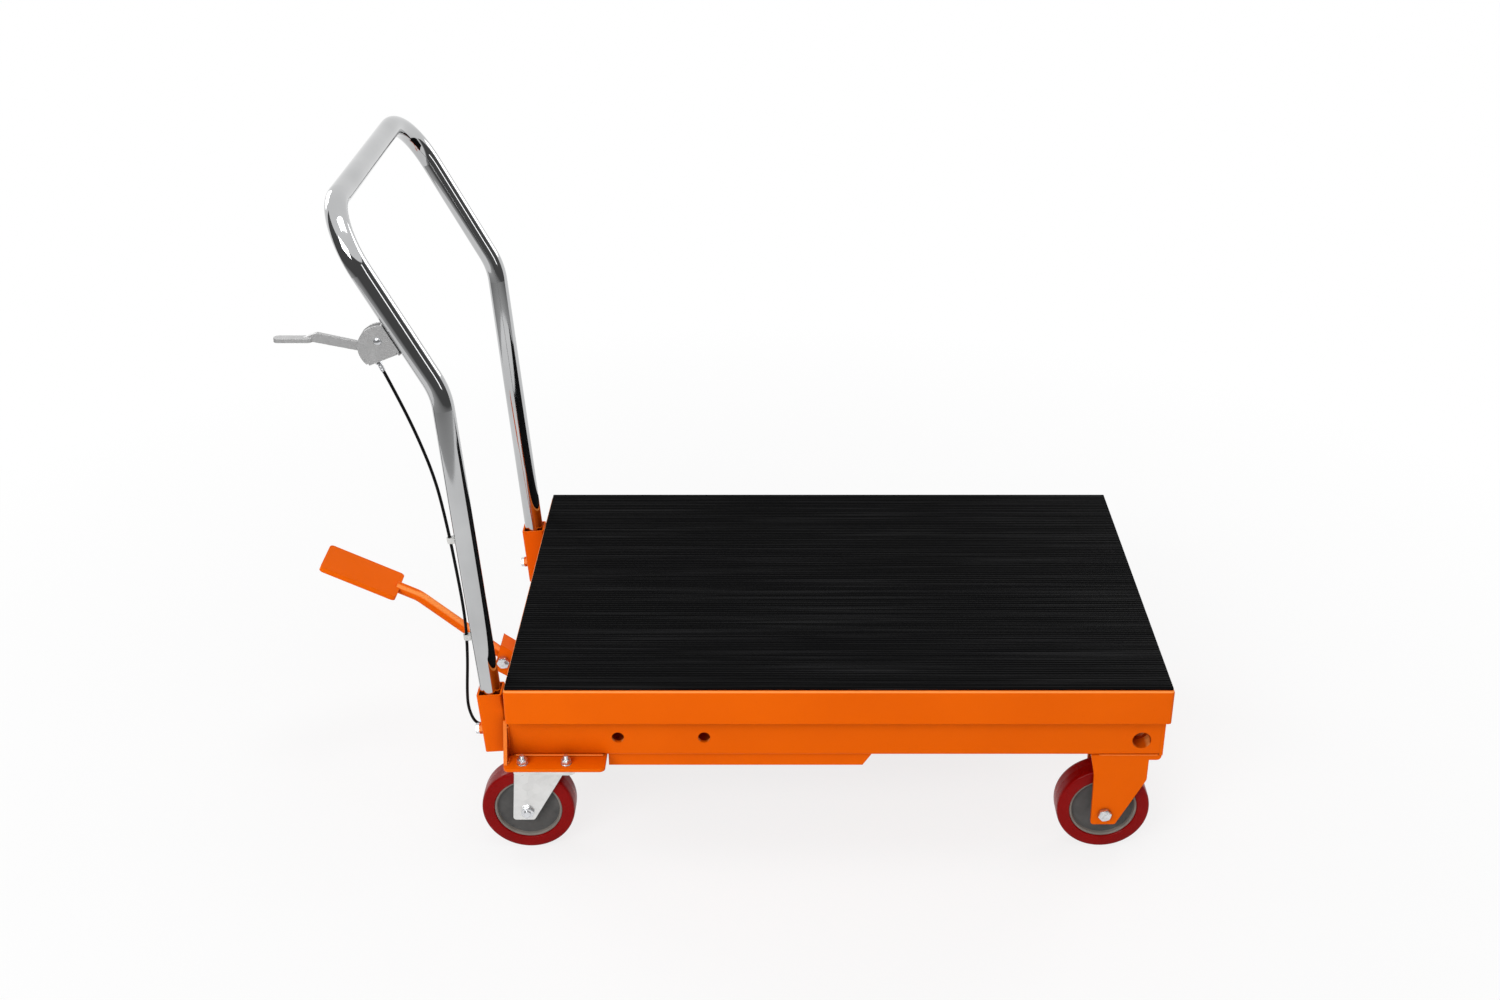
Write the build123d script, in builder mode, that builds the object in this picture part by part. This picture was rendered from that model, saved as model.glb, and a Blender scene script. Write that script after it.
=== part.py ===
from build123d import *
from math import asin, atan2, cos, degrees, hypot, pi, radians, sin, sqrt, tan
import os

os.makedirs("parts", exist_ok=True)

# Scissor lift table cart, lowered. Millimetres and degrees.
# +X points to the front, away from the push handle, +Z up, origin on the floor below the middle.
# Each side piece is made on the right side, where Y is negative, and mirrored.

# Deck
deck_length = 700.0
deck_width = 450.0
deck_sheet = 3.0
deck_bend_radius = 4.0
mat_thickness = 3.0
mat_inset = 2.0

# Wheels
wheel_diameter = 102.0
wheel_width = 30.0
tread_depth = 14.0
tread_edge_radius = 2.5
hub_recess_depth = 7.0
hub_rim = 3.0
hub_boss_radius = 12.0
wheel_side_gap = 1.5
axle_radius = 4.0
axle_head_across = 13.0
axle_head_height = 5.3
axle_nut_height = 8.0

# Swivel casters
fork_gap = 4.0
fork_sheet = 3.5
fork_leg_sheet = 2.5
fork_leg_back = 36.0
fork_leg_front = 18.5
fork_leg_knee = 1.0
fork_foot_back = 16.5
fork_foot_front = 7.0
fork_foot_drop = 10.5
fork_foot_corner = 3.5
raceway_height = 10.5
raceway_outer = 18.0
raceway_inner = 12.0
caster_plate_sheet = 4.0
caster_plate_length = 66.0
caster_plate_width = 94.0
caster_bolt_pitch_x = 46.5
caster_bolt_pitch_y = 74.0
caster_bolt_radius = 3.0
caster_bolt_across = 10.0
caster_bolt_head = 4.0
caster_nut_height = 6.0
caster_washer_radius = 6.2
caster_washer = 1.2
caster_stud_end = 3.5
caster_sink_radius = 6.0
caster_sink_depth = 3.0
caster_trail = 25.0
kingpin_radius = 6.0
kingpin_head_radius = 9.0
kingpin_head_height = 4.2
caster_from_rear = 38.0
caster_inset = 22.0

# Base frame
rail_inset = 19.0
rail_flange = 43.0
rail_wall = 4.0
rail_headroom = 6.0
rail_corner = 4.0
rail_hole_radius = 6.5
rail_hole_height = 23.0
rail_hole_places = (116.0, 208.0)
pivot_window_radius = 10.0
end_plate = 4.0
end_plate_inset = 1.0
rear_lip = 20.0
crank_relief_width = 24.0
crank_relief_height = 20.0
bracket_sheet = 4.0
bracket_length = 108.0
bracket_back = 4.0
gusset_lap = 2.5
bracket_overhang = 6.0
bracket_inset = 33.0
bracket_corner = 6.0
stiffener_start = 104.0
stiffener_length = 286.0
stiffener_height = 18.0
stiffener_sheet = 4.0
stiffener_bevel = 12.0
stiffener_inset = 8.0
rest_gap = 9.0
rest_pad_length = 30.0
rest_pad_width = 16.0
rest_pad_setback = 90.0

# Rigid front forks
front_axle_from_front = 57.0
front_fork_sheet = 5.0
front_fork_back = 15.0
front_fork_shoulder = 42.0
front_fork_knee = 45.0
front_fork_knee_radius = 8.0
front_fork_foot_back = 14.0
front_fork_foot_front = 12.5
front_fork_foot_drop = 14.5
front_fork_foot_corner = 3.0
front_fork_reach = 55.0
front_fork_flare = 5.5
front_fork_flare_drop = 27.0
front_crown = 6.0
front_crown_corner = 5.0
front_wheel_gap = 3.0

# Scissor lift
lift_angle = 56.0
pivot_setback = 25.0
roller_setback = 47.0
arm_width = 34.0
arm_sheet = 8.0
arm_side_gap = 3.0
arm_between_gap = 4.0
roller_radius = 15.0
roller_width = 18.0
roller_side_gap = 9.0
roller_chamfer = 1.0
roller_pin_radius = 6.0
pin_flange_radius = 9.0
pin_flange = 1.7
track_wall = 3.0
track_headroom = 2.0
track_end_gap = 8.0
pivot_pin_radius = 8.0
pivot_boss_radius = 14.0
pivot_collar_radius = 12.0
pivot_recess_radius = 11.5
pivot_recess = 16.0
centre_pin_radius = 7.0
centre_head_radius = 10.0
centre_head = 2.0
deck_pin_radius = 7.0
deck_bracket_sheet = 6.0
deck_bracket_length = 40.0
torque_tube_radius = 12.0
torque_tube_bore = 9.0
cross_tube_radius = 10.0
cross_tube_bore = 8.0
lower_tie_share = 0.2

# Ram and crank
ram_slope = 9.5
crank_radius = 48.0
crank_sheet = 12.0
crank_hub_radius = 17.0
crank_lug_radius = 12.5
ram_pin_radius = 5.0
ram_pin_play = 0.8
ram_pin_head = 2.0
ram_pin_head_radius = 7.0
clevis_radius = 10.0
clevis_width = 26.0
clevis_depth = 23.0
clevis_heel = 8.0
clevis_side_gap = 0.6
rod_radius = 11.0
cylinder_radius = 28.0
cylinder_bore = 22.0
cylinder_length = 300.0
cylinder_end_wall = 15.0
gland_length = 20.0
gland_radius = 24.0
gland_lip = 8.0
piston_length = 20.0
piston_start = 24.0

# Foot pump
pump_from_rear = 12.0
pump_below_rail = 34.0
pump_half_width = 30.0
pump_height = 31.0
pump_back = 14.0
pump_floor = 3.0
pump_front = 53.0
riser_back = 22.0
riser_height = 72.0
pump_ear_width = 15.0
pump_ear_radius = 12.5
pump_lobe_radius = 16.0
pump_pivot_radius = 6.0
pump_pivot_drop = 17.0
plunger_offset = 32.0
plunger_radius = 7.0
plunger_cap_radius = 9.0
plunger_cap_height = 3.0
plunger_length = 29.5
cradle_sheet = 5.0
cradle_corner = 40.0
pedal_arm_width = 26.0
pedal_arm_top_back = 48.5
pedal_arm_top_rise = 53.7
pedal_arm_low_back = 59.0
pedal_arm_low_rise = 20.0
pedal_arm_cheek = 5.0
pedal_arm_radius = 14.5
pedal_arm_solid = 30.0
pedal_rod_radius = 6.5
pedal_rod_insert = 22.0
pedal_rod_slope = 41.0
pedal_rod_run = 124.0
pedal_rod_bend = 40.0
pedal_bolt_back = 47.0
pedal_bolt_rise = 31.0
pedal_bolt_radius = 4.0
pedal_bolt_across = 13.0
pedal_bolt_head = 5.3
pedal_pad_width = 53.0
pedal_pad_length = 91.0
pedal_pad_sheet = 6.0
pedal_pad_corner = 5.0
pedal_pad_slope = 26.0
pedal_pad_lead = 24.0
pedal_pad_weld = 4.0
pedal_overhang = 232.0
valve_radius = 5.0
valve_height = 8.0
valve_lever_length = 14.0
valve_lever_width = 10.0
valve_lever_sheet = 3.0

# Push handle
handle_inset = 21.0
handle_radius = 11.0
handle_wall = 1.8
handle_lower = 414.0
handle_lower_lean = 3.8
handle_upper = 201.7
handle_upper_lean = 27.45
handle_bend_radius = 80.0
handle_corner_radius = 62.0
handle_seat = 3.0
socket_wall = 2.3
socket_length = 71.0
socket_corner = 2.5
socket_weld_height = 40.0
socket_weld_lift = 1.0
clamp_height = 22.0
clamp_boss_radius = 6.2
clamp_boss_height = 5.0
clamp_bolt_radius = 3.0
clamp_bolt_across = 10.0
clamp_bolt_head = 4.0

# Release lever and cable
lever_along = 75.0
lever_stand_off = 12.0
lever_bracket_radius = 23.0
lever_bracket_drop = 8.0
lever_bracket_sheet = 2.0
lever_bracket_gap = 7.0
lever_bracket_tilt = 22.0
lever_tab_drop = 17.5
lever_tab_start = 19.0
lever_tab_length = 30.0
lever_web_down = 22.0
lever_web_up = 12.0
lever_sheet = 4.0
lever_depth = 9.0
lever_hub_radius = 8.5
lever_hub_drop = 6.5
lever_hub_reach = 19.5
lever_kink = 63.0
lever_kink_rise = 2.5
lever_pad_length = 38.0
lever_pad_width = 10.0
lever_pivot_radius = 2.5
lever_pivot_head_radius = 4.0
lever_pivot_head = 2.2
cable_radius = 1.6
adjuster_radius = 2.4
adjuster_nut_radius = 3.6
adjuster_nut_height = 3.0
adjuster_place = 11.0
adjuster_length = 11.5
cable_hole_inset = 60.5
cable_hole_height = 23.0
cable_hole_lead = 8.0
clip_width = 6.0
clip_wall = 1.2
clip_foot_width = 7.0
clip_foot = 1.2
grommet_play = 1.8
grommet_wall = 2.0
grommet_lip = 2.0
grommet_flange = 1.5

# Cable route: the first straight run, then heights and gaps beside the lower tube,
# distances back from the tube, inwards and up round the socket, and distances ahead,
# shares of the way and rises to the valve
cable_lead = 34.0
cable_beside_tube = (
    (364.0, 18.5),
    (319.0, 9.0),
    (274.0, 5.6),
    (228.0, 3.8),
    (160.0, 2.6),
    (112.0, 7.2),
)
cable_round_socket = (
    (19.2, 0.5, 66.0),
    (19.8, 3.5, 43.0),
    (15.5, 11.5, 19.5),
    (7.0, 24.0, 10.0),
    (-4.0, 41.0, 15.0),
)
cable_to_valve = (
    (-12.0, 0.095, 25.0),
    (-2.5, 0.286, 22.0),
    (0.0, 0.521, 15.5),
    (0.0, 0.768, 6.5),
)
cable_arc_share = 0.45
clip_runs = (2, 4)

# Clearances
roller_gap = 0.3
running_fit = 0.08
side_play = 0.3
seat_gap = 0.15
clip_cable_gap = 0.4
cable_end_gap = 1.4

# Heights, from the floor up
wheel_radius = wheel_diameter / 2
crown_bottom = wheel_diameter + fork_gap
crown_top = crown_bottom + fork_sheet
caster_plate_bottom = crown_top + raceway_height
caster_plate_top = caster_plate_bottom + caster_plate_sheet
rail_bottom = caster_plate_top + bracket_sheet
rail_height = 2 * (rail_wall + roller_radius) + rail_headroom
rail_top = rail_bottom + rail_height
track_height = 2 * (track_wall + roller_radius) + track_headroom
track_bottom = rail_top + rest_gap
deck_underside = track_bottom + track_height
deck_top = deck_underside + deck_sheet
apron_depth = deck_top - track_bottom

# Lengths, the whole object centred on the origin from the pedal's tip to the deck's front
rear = (pedal_overhang - deck_length) / 2
front = rear + deck_length
rear_face = rear - end_plate_inset
front_face = front - end_plate_inset
rail_start = rear_face + end_plate
rail_end = front_face - end_plate
rail_length = rail_end - rail_start

# Sides, as distances from the middle plane
rail_face = deck_width / 2 - rail_inset
rail_mouth = rail_face - rail_flange
caster_side = rail_face - caster_inset
handle_side = rail_face - handle_inset
bracket_inner_side = rail_mouth - bracket_inset
cable_hole_side = handle_side - cable_hole_inset
grommet_bore = cable_radius + grommet_play
grommet_groove = grommet_bore + grommet_wall
outer_arm_out = rail_mouth - arm_side_gap
outer_arm_in = outer_arm_out - arm_sheet
inner_arm_out = outer_arm_in - arm_between_gap
inner_arm_in = inner_arm_out - arm_sheet
roller_out = rail_face - rail_wall - roller_side_gap
roller_in = roller_out - roller_width

# Scissor points at rest: base pivot, deck pivot, lower and upper rollers, centre
pivot_x = front - pivot_setback
pivot_z = rail_bottom + rail_wall + roller_radius + roller_gap
upper_z = deck_underside - track_wall - roller_radius - roller_gap
arm_reach = deck_length - pivot_setback - roller_setback
arm_rise = upper_z - pivot_z
arm_span = hypot(arm_reach, arm_rise)
rest_angle = degrees(atan2(arm_rise, arm_reach))
roller_x = pivot_x - arm_reach
centre_x = pivot_x - arm_reach / 2
centre_z = (pivot_z + upper_z) / 2
tie_x = roller_x + lower_tie_share * arm_reach
tie_z = pivot_z + lower_tie_share * arm_rise

# Crank and ram: the crank's lug swings evenly to both sides of the ram's upright
crank_start = 90.0 + ram_slope + lift_angle / 2
crank_dip = crank_radius * (1 - cos(radians(lift_angle / 2)))
ram_pin_x = pivot_x + crank_radius * cos(radians(crank_start))
ram_pin_z = pivot_z + crank_radius * sin(radians(crank_start))

# Pump and pedal
pump_x = rear + pump_from_rear
pump_z = rail_bottom - pump_below_rail
pump_top = pump_z - pump_pivot_drop
pump_bottom = pump_top - pump_height
riser_top = pump_bottom + riser_height
pump_face_x = pump_x + pump_front
ram_length = (ram_pin_x - pump_face_x) / cos(radians(ram_slope))
ram_start_z = ram_pin_z - ram_length * sin(radians(ram_slope))
plunger_x = pump_x - plunger_offset
cradle_out = pump_half_width + cradle_sheet
valve_x = pump_x + (riser_back + pump_front) / 2
valve_z = riser_top

# Handle tube
socket_outer = 2 * (handle_radius + seat_gap + socket_wall)
socket_inner = 2 * (handle_radius + seat_gap)
handle_x = rear_face - socket_outer / 2 - seat_gap
bend_x = handle_x - handle_lower * tan(radians(handle_lower_lean))
bend_z = rail_bottom + handle_lower
top_x = bend_x - handle_upper * sin(radians(handle_upper_lean))
top_z = bend_z + handle_upper * cos(radians(handle_upper_lean))
lean_axis = Vector(-sin(radians(handle_lower_lean)), 0, cos(radians(handle_lower_lean)))
lean_cross = Vector(cos(radians(handle_lower_lean)), 0, sin(radians(handle_lower_lean)))
upper_axis = Vector(-sin(radians(handle_upper_lean)), 0, cos(radians(handle_upper_lean)))
upper_out = Vector(-cos(radians(handle_upper_lean)), 0, -sin(radians(handle_upper_lean)))
handle_foot = Vector(handle_x, -handle_side, rail_bottom)
handle_bend = Vector(bend_x, -handle_side, bend_z)
lever_out = handle_radius + lever_stand_off
lever_pivot_point = handle_bend + upper_axis * lever_along + upper_out * lever_out


def side_plane(y):
    """Upright plane at y, with X across and Z up, facing the right side."""
    return Plane.XZ.offset(-y)


def pin_y(x, z, radius, y_from, y_to):
    """Round bar along Y."""
    with BuildPart() as bar:
        with BuildSketch(side_plane(max(y_from, y_to))):
            with Locations((x, z)):
                Circle(radius)
        extrude(amount=abs(y_to - y_from))
    return bar.part


def hex_y(x, z, across, y_from, y_to):
    """Hexagon bar along Y, for bolt heads and nuts."""
    with BuildPart() as bar:
        with BuildSketch(side_plane(max(y_from, y_to))):
            with Locations((x, z)):
                RegularPolygon(across / 2, 6, major_radius=False)
        extrude(amount=abs(y_to - y_from))
    return bar.part


def pin_z(x, y, radius, z_from, z_to):
    """Round bar along Z."""
    with BuildPart() as bar:
        with BuildSketch(Plane.XY.offset(min(z_from, z_to))):
            with Locations((x, y)):
                Circle(radius)
        extrude(amount=abs(z_to - z_from))
    return bar.part


def hex_z(x, y, across, z_from, z_to):
    """Hexagon bar along Z, for bolt heads and nuts."""
    with BuildPart() as bar:
        with BuildSketch(Plane.XY.offset(min(z_from, z_to))):
            with Locations((x, y)):
                RegularPolygon(across / 2, 6, major_radius=False)
        extrude(amount=abs(z_to - z_from))
    return bar.part


def plate_y(points, y_from, y_to):
    """Flat plate in an X-Z outline, from one Y to another."""
    with BuildPart() as plate:
        with BuildSketch(side_plane(max(y_from, y_to))):
            with BuildLine():
                Polyline(*points, close=True)
            make_face()
        extrude(amount=abs(y_to - y_from))
    return plate.part


def ram_plane(distance):
    """Plane square to the ram, at a distance along it from the pump's face."""
    direction = (cos(radians(ram_slope)), 0, sin(radians(ram_slope)))
    return Plane(origin=(pump_face_x, 0, ram_start_z), x_dir=(0, 1, 0), z_dir=direction).offset(distance)


def ram_point(distance, offset):
    """X and Z of a point along the ram and off its axis."""
    slope = radians(ram_slope)
    x = pump_face_x + distance * cos(slope) - offset * sin(slope)
    z = ram_start_z + distance * sin(slope) + offset * cos(slope)
    return (x, z)


def save(builder, name):
    builder.part.label = name
    export_step(builder.part, f"parts/{name}.step")


# Deck tray: folded sheet with aprons on four sides
with BuildPart() as deck_tray:
    with Locations(((rear + front) / 2, 0, deck_top)):
        Box(deck_length, deck_width, apron_depth, align=(Align.CENTER, Align.CENTER, Align.MAX))
    fillet(deck_tray.edges().filter_by(Axis.Z), deck_bend_radius)
    fillet(deck_tray.faces().sort_by(Axis.Z)[-1].edges(), deck_bend_radius)
    offset(amount=-deck_sheet, openings=deck_tray.faces().sort_by(Axis.Z)[0])
save(deck_tray, "deck_tray")

# Rubber mat, a plain sheet that covers the deck
with BuildPart() as rubber_mat:
    with BuildSketch(Plane.XY.offset(deck_top)):
        with Locations(((rear + front) / 2, 0)):
            RectangleRounded(deck_length - 2 * mat_inset, deck_width - 2 * mat_inset, deck_bend_radius)
    extrude(amount=mat_thickness)
save(rubber_mat, "rubber_mat")

# Roller tracks under the deck, open towards the middle
with BuildPart() as deck_tracks:
    with BuildSketch(Plane.YZ.offset(rear + track_end_gap)):
        with Locations((-(rail_face + rail_mouth) / 2, track_bottom + track_height / 2)):
            Rectangle(rail_flange, track_height)
        with Locations((-(rail_face + rail_mouth) / 2 + track_wall, track_bottom + track_height / 2)):
            Rectangle(rail_flange, track_height - 2 * track_wall, mode=Mode.SUBTRACT)
    extrude(amount=deck_length - 2 * track_end_gap)
    mirror(about=Plane.XZ)
save(deck_tracks, "deck_tracks")

# Deck pivot brackets: hanger plates, each with its welded pivot stud
with BuildPart() as deck_pivot_brackets:
    with BuildSketch(side_plane(-outer_arm_in + deck_bracket_sheet / 2)):
        with Locations((pivot_x, upper_z)):
            Circle(arm_width / 2)
        with Locations((pivot_x, deck_underside)):
            Rectangle(deck_bracket_length, deck_sheet, align=(Align.CENTER, Align.MAX))
        make_hull()
    extrude(amount=deck_bracket_sheet)
    stud_out = outer_arm_in + deck_bracket_sheet / 2
    add(pin_y(pivot_x, upper_z, deck_pin_radius, -stud_out, -inner_arm_in + arm_sheet))
    mirror(about=Plane.XZ)
save(deck_pivot_brackets, "deck_pivot_brackets")

# Base rails: channels open towards the middle, with a welded boss for the arm pivot
rail_centre_y = -(rail_face + rail_mouth) / 2
with BuildPart() as right_rail:
    with BuildSketch(Plane.YZ.offset(rail_start)) as rail_profile:
        with Locations((rail_centre_y, rail_bottom + rail_height / 2)):
            Rectangle(rail_flange, rail_height)
        fillet(rail_profile.vertices().group_by(Axis.X)[0], rail_corner)
        with Locations((rail_centre_y + rail_wall, rail_bottom + rail_height / 2)):
            Rectangle(rail_flange, rail_height - 2 * rail_wall, mode=Mode.SUBTRACT)
    extrude(amount=rail_length)
    add(pin_y(pivot_x, pivot_z, pivot_boss_radius, -rail_face + rail_wall, -rail_mouth))
    web_y = -rail_face + rail_wall
    for place in rail_hole_places:
        hole_z = rail_bottom + rail_hole_height
        add(pin_y(rear + place, hole_z, rail_hole_radius, -rail_face, web_y), mode=Mode.SUBTRACT)
    add(pin_y(pivot_x, pivot_z, pivot_window_radius, -rail_face, web_y), mode=Mode.SUBTRACT)
    add(pin_y(pivot_x, pivot_z, pivot_recess_radius, web_y, web_y + pivot_recess), mode=Mode.SUBTRACT)
    add(pin_y(pivot_x, pivot_z, pivot_pin_radius, -rail_face, -rail_mouth), mode=Mode.SUBTRACT)
save(right_rail, "right_rail")

with BuildPart() as left_rail:
    mirror(right_rail.part, about=Plane.XZ)
save(left_rail, "left_rail")

# Rear crossmember: end plate with a lip, the hole for the cable and room for the handle sockets
with BuildPart() as rear_crossmember:
    with Locations((rear_face, 0, rail_bottom)):
        Box(end_plate, 2 * rail_face, rail_height, align=(Align.MIN, Align.CENTER, Align.MIN))
    with Locations((rail_start, 0, rail_top)):
        lip_width = 2 * (rail_mouth - arm_side_gap)
        Box(rear_lip, lip_width, end_plate, align=(Align.MIN, Align.CENTER, Align.MAX))
    with BuildSketch(Plane.YZ.offset(rear_face)):
        with Locations((-cable_hole_side, rail_bottom + cable_hole_height)):
            Circle(grommet_groove)
    extrude(amount=end_plate, mode=Mode.SUBTRACT)
save(rear_crossmember, "rear_crossmember")

# Front crossmember, cut away in the middle for the crank
with BuildPart() as front_crossmember:
    with Locations((front_face, 0, rail_bottom)):
        Box(end_plate, 2 * rail_face, rail_height, align=(Align.MAX, Align.CENTER, Align.MIN))
    with Locations((front_face, 0, rail_top)):
        relief_align = (Align.MAX, Align.CENTER, Align.MAX)
        Box(end_plate, crank_relief_width, crank_relief_height, align=relief_align, mode=Mode.SUBTRACT)
save(front_crossmember, "front_crossmember")

# Rear caster brackets: bolting flange under the rail, with a welded-on gusset at its end
caster_x = rear + caster_from_rear
bracket_edge = deck_width / 2 + bracket_overhang
bracket_width = bracket_edge - bracket_inner_side
bracket_start = rear_face - bracket_back
bolt_xs = (caster_x - caster_bolt_pitch_x / 2, caster_x + caster_bolt_pitch_x / 2)
bolt_outer_points = [(x, -caster_side - caster_bolt_pitch_y / 2) for x in bolt_xs]
bolt_inner_points = [(x, -caster_side + caster_bolt_pitch_y / 2) for x in bolt_xs]
bolt_points = bolt_outer_points + bolt_inner_points
sink_align = (Align.CENTER, Align.CENTER, Align.MAX)
with BuildPart() as caster_brackets:
    with BuildSketch(Plane.XY.offset(rail_bottom - bracket_sheet)) as bracket_outline:
        with Locations((bracket_start + bracket_length / 2, -(bracket_edge + bracket_inner_side) / 2)):
            Rectangle(bracket_length, bracket_width)
        fillet(bracket_outline.vertices().group_by(Axis.Y)[0], bracket_corner)
        with Locations(*bolt_points):
            Circle(caster_bolt_radius, mode=Mode.SUBTRACT)
    extrude(amount=bracket_sheet)
    for x, y in bolt_inner_points:
        with Locations((x, y, rail_bottom)):
            Cone(
                caster_bolt_radius,
                caster_sink_radius,
                caster_sink_depth,
                align=sink_align,
                mode=Mode.SUBTRACT,
            )
    gusset_edge = bracket_edge - bracket_corner
    gusset_lap_y = gusset_lap - rail_face
    gusset_foot = rail_bottom + seat_gap
    with BuildSketch(Plane.YZ.offset(bracket_start)):
        with BuildLine():
            Polyline(
                (gusset_lap_y, gusset_foot),
                (-gusset_edge, gusset_foot),
                (-rail_face, rail_top),
                (gusset_lap_y, rail_top),
                close=True,
            )
        make_face()
    extrude(amount=bracket_back)
    mirror(about=Plane.XZ)
save(caster_brackets, "caster_brackets")

# Stiffener bars on edge under the rails
stiffener_x = rear + stiffener_start
stiffener_end = stiffener_x + stiffener_length
stiffener_z = rail_bottom - stiffener_height
with BuildPart() as rail_stiffeners:
    stiffener_points = (
        (stiffener_x, stiffener_z),
        (stiffener_end - stiffener_bevel, stiffener_z),
        (stiffener_end, rail_bottom),
        (stiffener_x, rail_bottom),
    )
    stiffener_face = rail_face - stiffener_inset
    add(plate_y(stiffener_points, -stiffener_face, -stiffener_face + stiffener_sheet))
    mirror(about=Plane.XZ)
save(rail_stiffeners, "rail_stiffeners")

# Rest pads on the rails, which stop the deck when it is down
with BuildPart() as rest_pads:
    for pad_x in (rear + rest_pad_setback, front - rest_pad_setback):
        with Locations((pad_x, rail_centre_y, rail_top)):
            pad_align = (Align.CENTER, Align.CENTER, Align.MIN)
            Box(rest_pad_length, rest_pad_width, rest_gap - side_play, align=pad_align)
    mirror(about=Plane.XZ)
save(rest_pads, "rest_pads")

# Rigid front forks: an outer leg flush with the rail, a crown under the rail and an inner leg
front_axle_x = front - front_axle_from_front
front_leg_out = rail_face - front_fork_sheet
front_wheel_out = front_leg_out - front_wheel_gap
front_wheel_y = -(front_wheel_out - wheel_width / 2)
front_leg_in = front_wheel_out - wheel_width - front_wheel_gap
front_fork_in = front_leg_in - front_fork_sheet
fork_back_x = front_axle_x - front_fork_back
fork_knee_x = front_axle_x + front_fork_shoulder
fork_front_x = front_axle_x + front_fork_reach
fork_knee_z = wheel_radius + front_fork_knee
fork_foot_z = wheel_radius - front_fork_foot_drop
leg_outline = (
    (front_axle_x - front_fork_foot_back, fork_foot_z),
    (front_axle_x + front_fork_foot_front, fork_foot_z),
    (fork_knee_x, fork_knee_z),
    (fork_knee_x, rail_bottom),
    (fork_back_x - front_fork_flare, rail_bottom),
    (fork_back_x, rail_bottom - front_fork_flare_drop),
)
with BuildPart() as front_forks:
    for face in (front_leg_out, front_fork_in):
        with BuildSketch(side_plane(-face)) as leg:
            with BuildLine():
                Polyline(*leg_outline, close=True)
            make_face()
            fillet(leg.vertices().group_by(Axis.Y)[0], front_fork_foot_corner)
            fillet(leg.vertices().group_by(Axis.X)[-1].sort_by(Axis.Y)[0], front_fork_knee_radius)
            with Locations((front_axle_x, wheel_radius)):
                Circle(axle_radius, mode=Mode.SUBTRACT)
        extrude(amount=front_fork_sheet)
    with BuildSketch(side_plane(-front_fork_in)) as crown:
        with Locations(((fork_back_x + fork_front_x) / 2, rail_bottom)):
            Rectangle(fork_front_x - fork_back_x, front_crown, align=(Align.CENTER, Align.MAX))
        fillet(crown.vertices().group_by(Axis.X)[-1].sort_by(Axis.Y)[0], front_crown_corner)
    extrude(amount=rail_face - front_fork_in)
    mirror(about=Plane.XZ)
save(front_forks, "front_forks")

with BuildPart() as front_axles:
    axle_x = front_axle_x
    head_y = -rail_face
    nut_y = -front_fork_in
    add(pin_y(axle_x, wheel_radius, axle_radius, head_y, nut_y + axle_nut_height))
    add(hex_y(axle_x, wheel_radius, axle_head_across, head_y - axle_head_height, head_y))
    add(hex_y(axle_x, wheel_radius, axle_head_across, nut_y, nut_y + axle_nut_height))
    mirror(about=Plane.XZ)
save(front_axles, "front_axles")

# Swivel caster top plates, with the upper race and the kingpin riveted in
race_split = (crown_top + caster_plate_bottom) / 2
kingpin_head_top = crown_bottom - side_play
with BuildPart() as caster_plates:
    with BuildSketch(Plane.XY.offset(caster_plate_bottom)):
        with Locations((caster_x, -caster_side)):
            RectangleRounded(caster_plate_length, caster_plate_width, bracket_corner)
        with Locations(*bolt_points):
            Circle(caster_bolt_radius, mode=Mode.SUBTRACT)
    extrude(amount=caster_plate_sheet)
    race_bottom = race_split + side_play
    add(pin_z(caster_x, -caster_side, raceway_outer, race_bottom, caster_plate_bottom))
    add(pin_z(caster_x, -caster_side, raceway_inner, race_bottom, caster_plate_bottom), mode=Mode.SUBTRACT)
    add(pin_z(caster_x, -caster_side, kingpin_radius, kingpin_head_top, caster_plate_bottom))
    kingpin_end = kingpin_head_top - kingpin_head_height
    add(pin_z(caster_x, -caster_side, kingpin_head_radius, kingpin_end, kingpin_head_top))
    mirror(about=Plane.XZ)
save(caster_plates, "caster_plates")

# Caster bolts: nuts on top outside, countersunk heads on top under the arms
with BuildPart() as caster_bolts:
    for x, y in bolt_outer_points:
        nut_start = rail_bottom + caster_washer
        nut_end = nut_start + caster_nut_height
        head_start = caster_plate_bottom - caster_bolt_head
        add(hex_z(x, y, caster_bolt_across, head_start, caster_plate_bottom))
        add(pin_z(x, y, caster_bolt_radius, caster_plate_bottom, nut_end + caster_stud_end))
        add(pin_z(x, y, caster_washer_radius, rail_bottom, nut_start))
        add(hex_z(x, y, caster_bolt_across, nut_start, nut_end))
    for x, y in bolt_inner_points:
        nut_start = caster_plate_bottom - caster_nut_height
        with Locations((x, y, rail_bottom)):
            Cone(caster_bolt_radius, caster_sink_radius, caster_sink_depth, align=sink_align)
        add(pin_z(x, y, caster_bolt_radius, nut_start, rail_bottom))
        add(hex_z(x, y, caster_bolt_across, nut_start, caster_plate_bottom))
    mirror(about=Plane.XZ)
save(caster_bolts, "caster_bolts")

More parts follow.
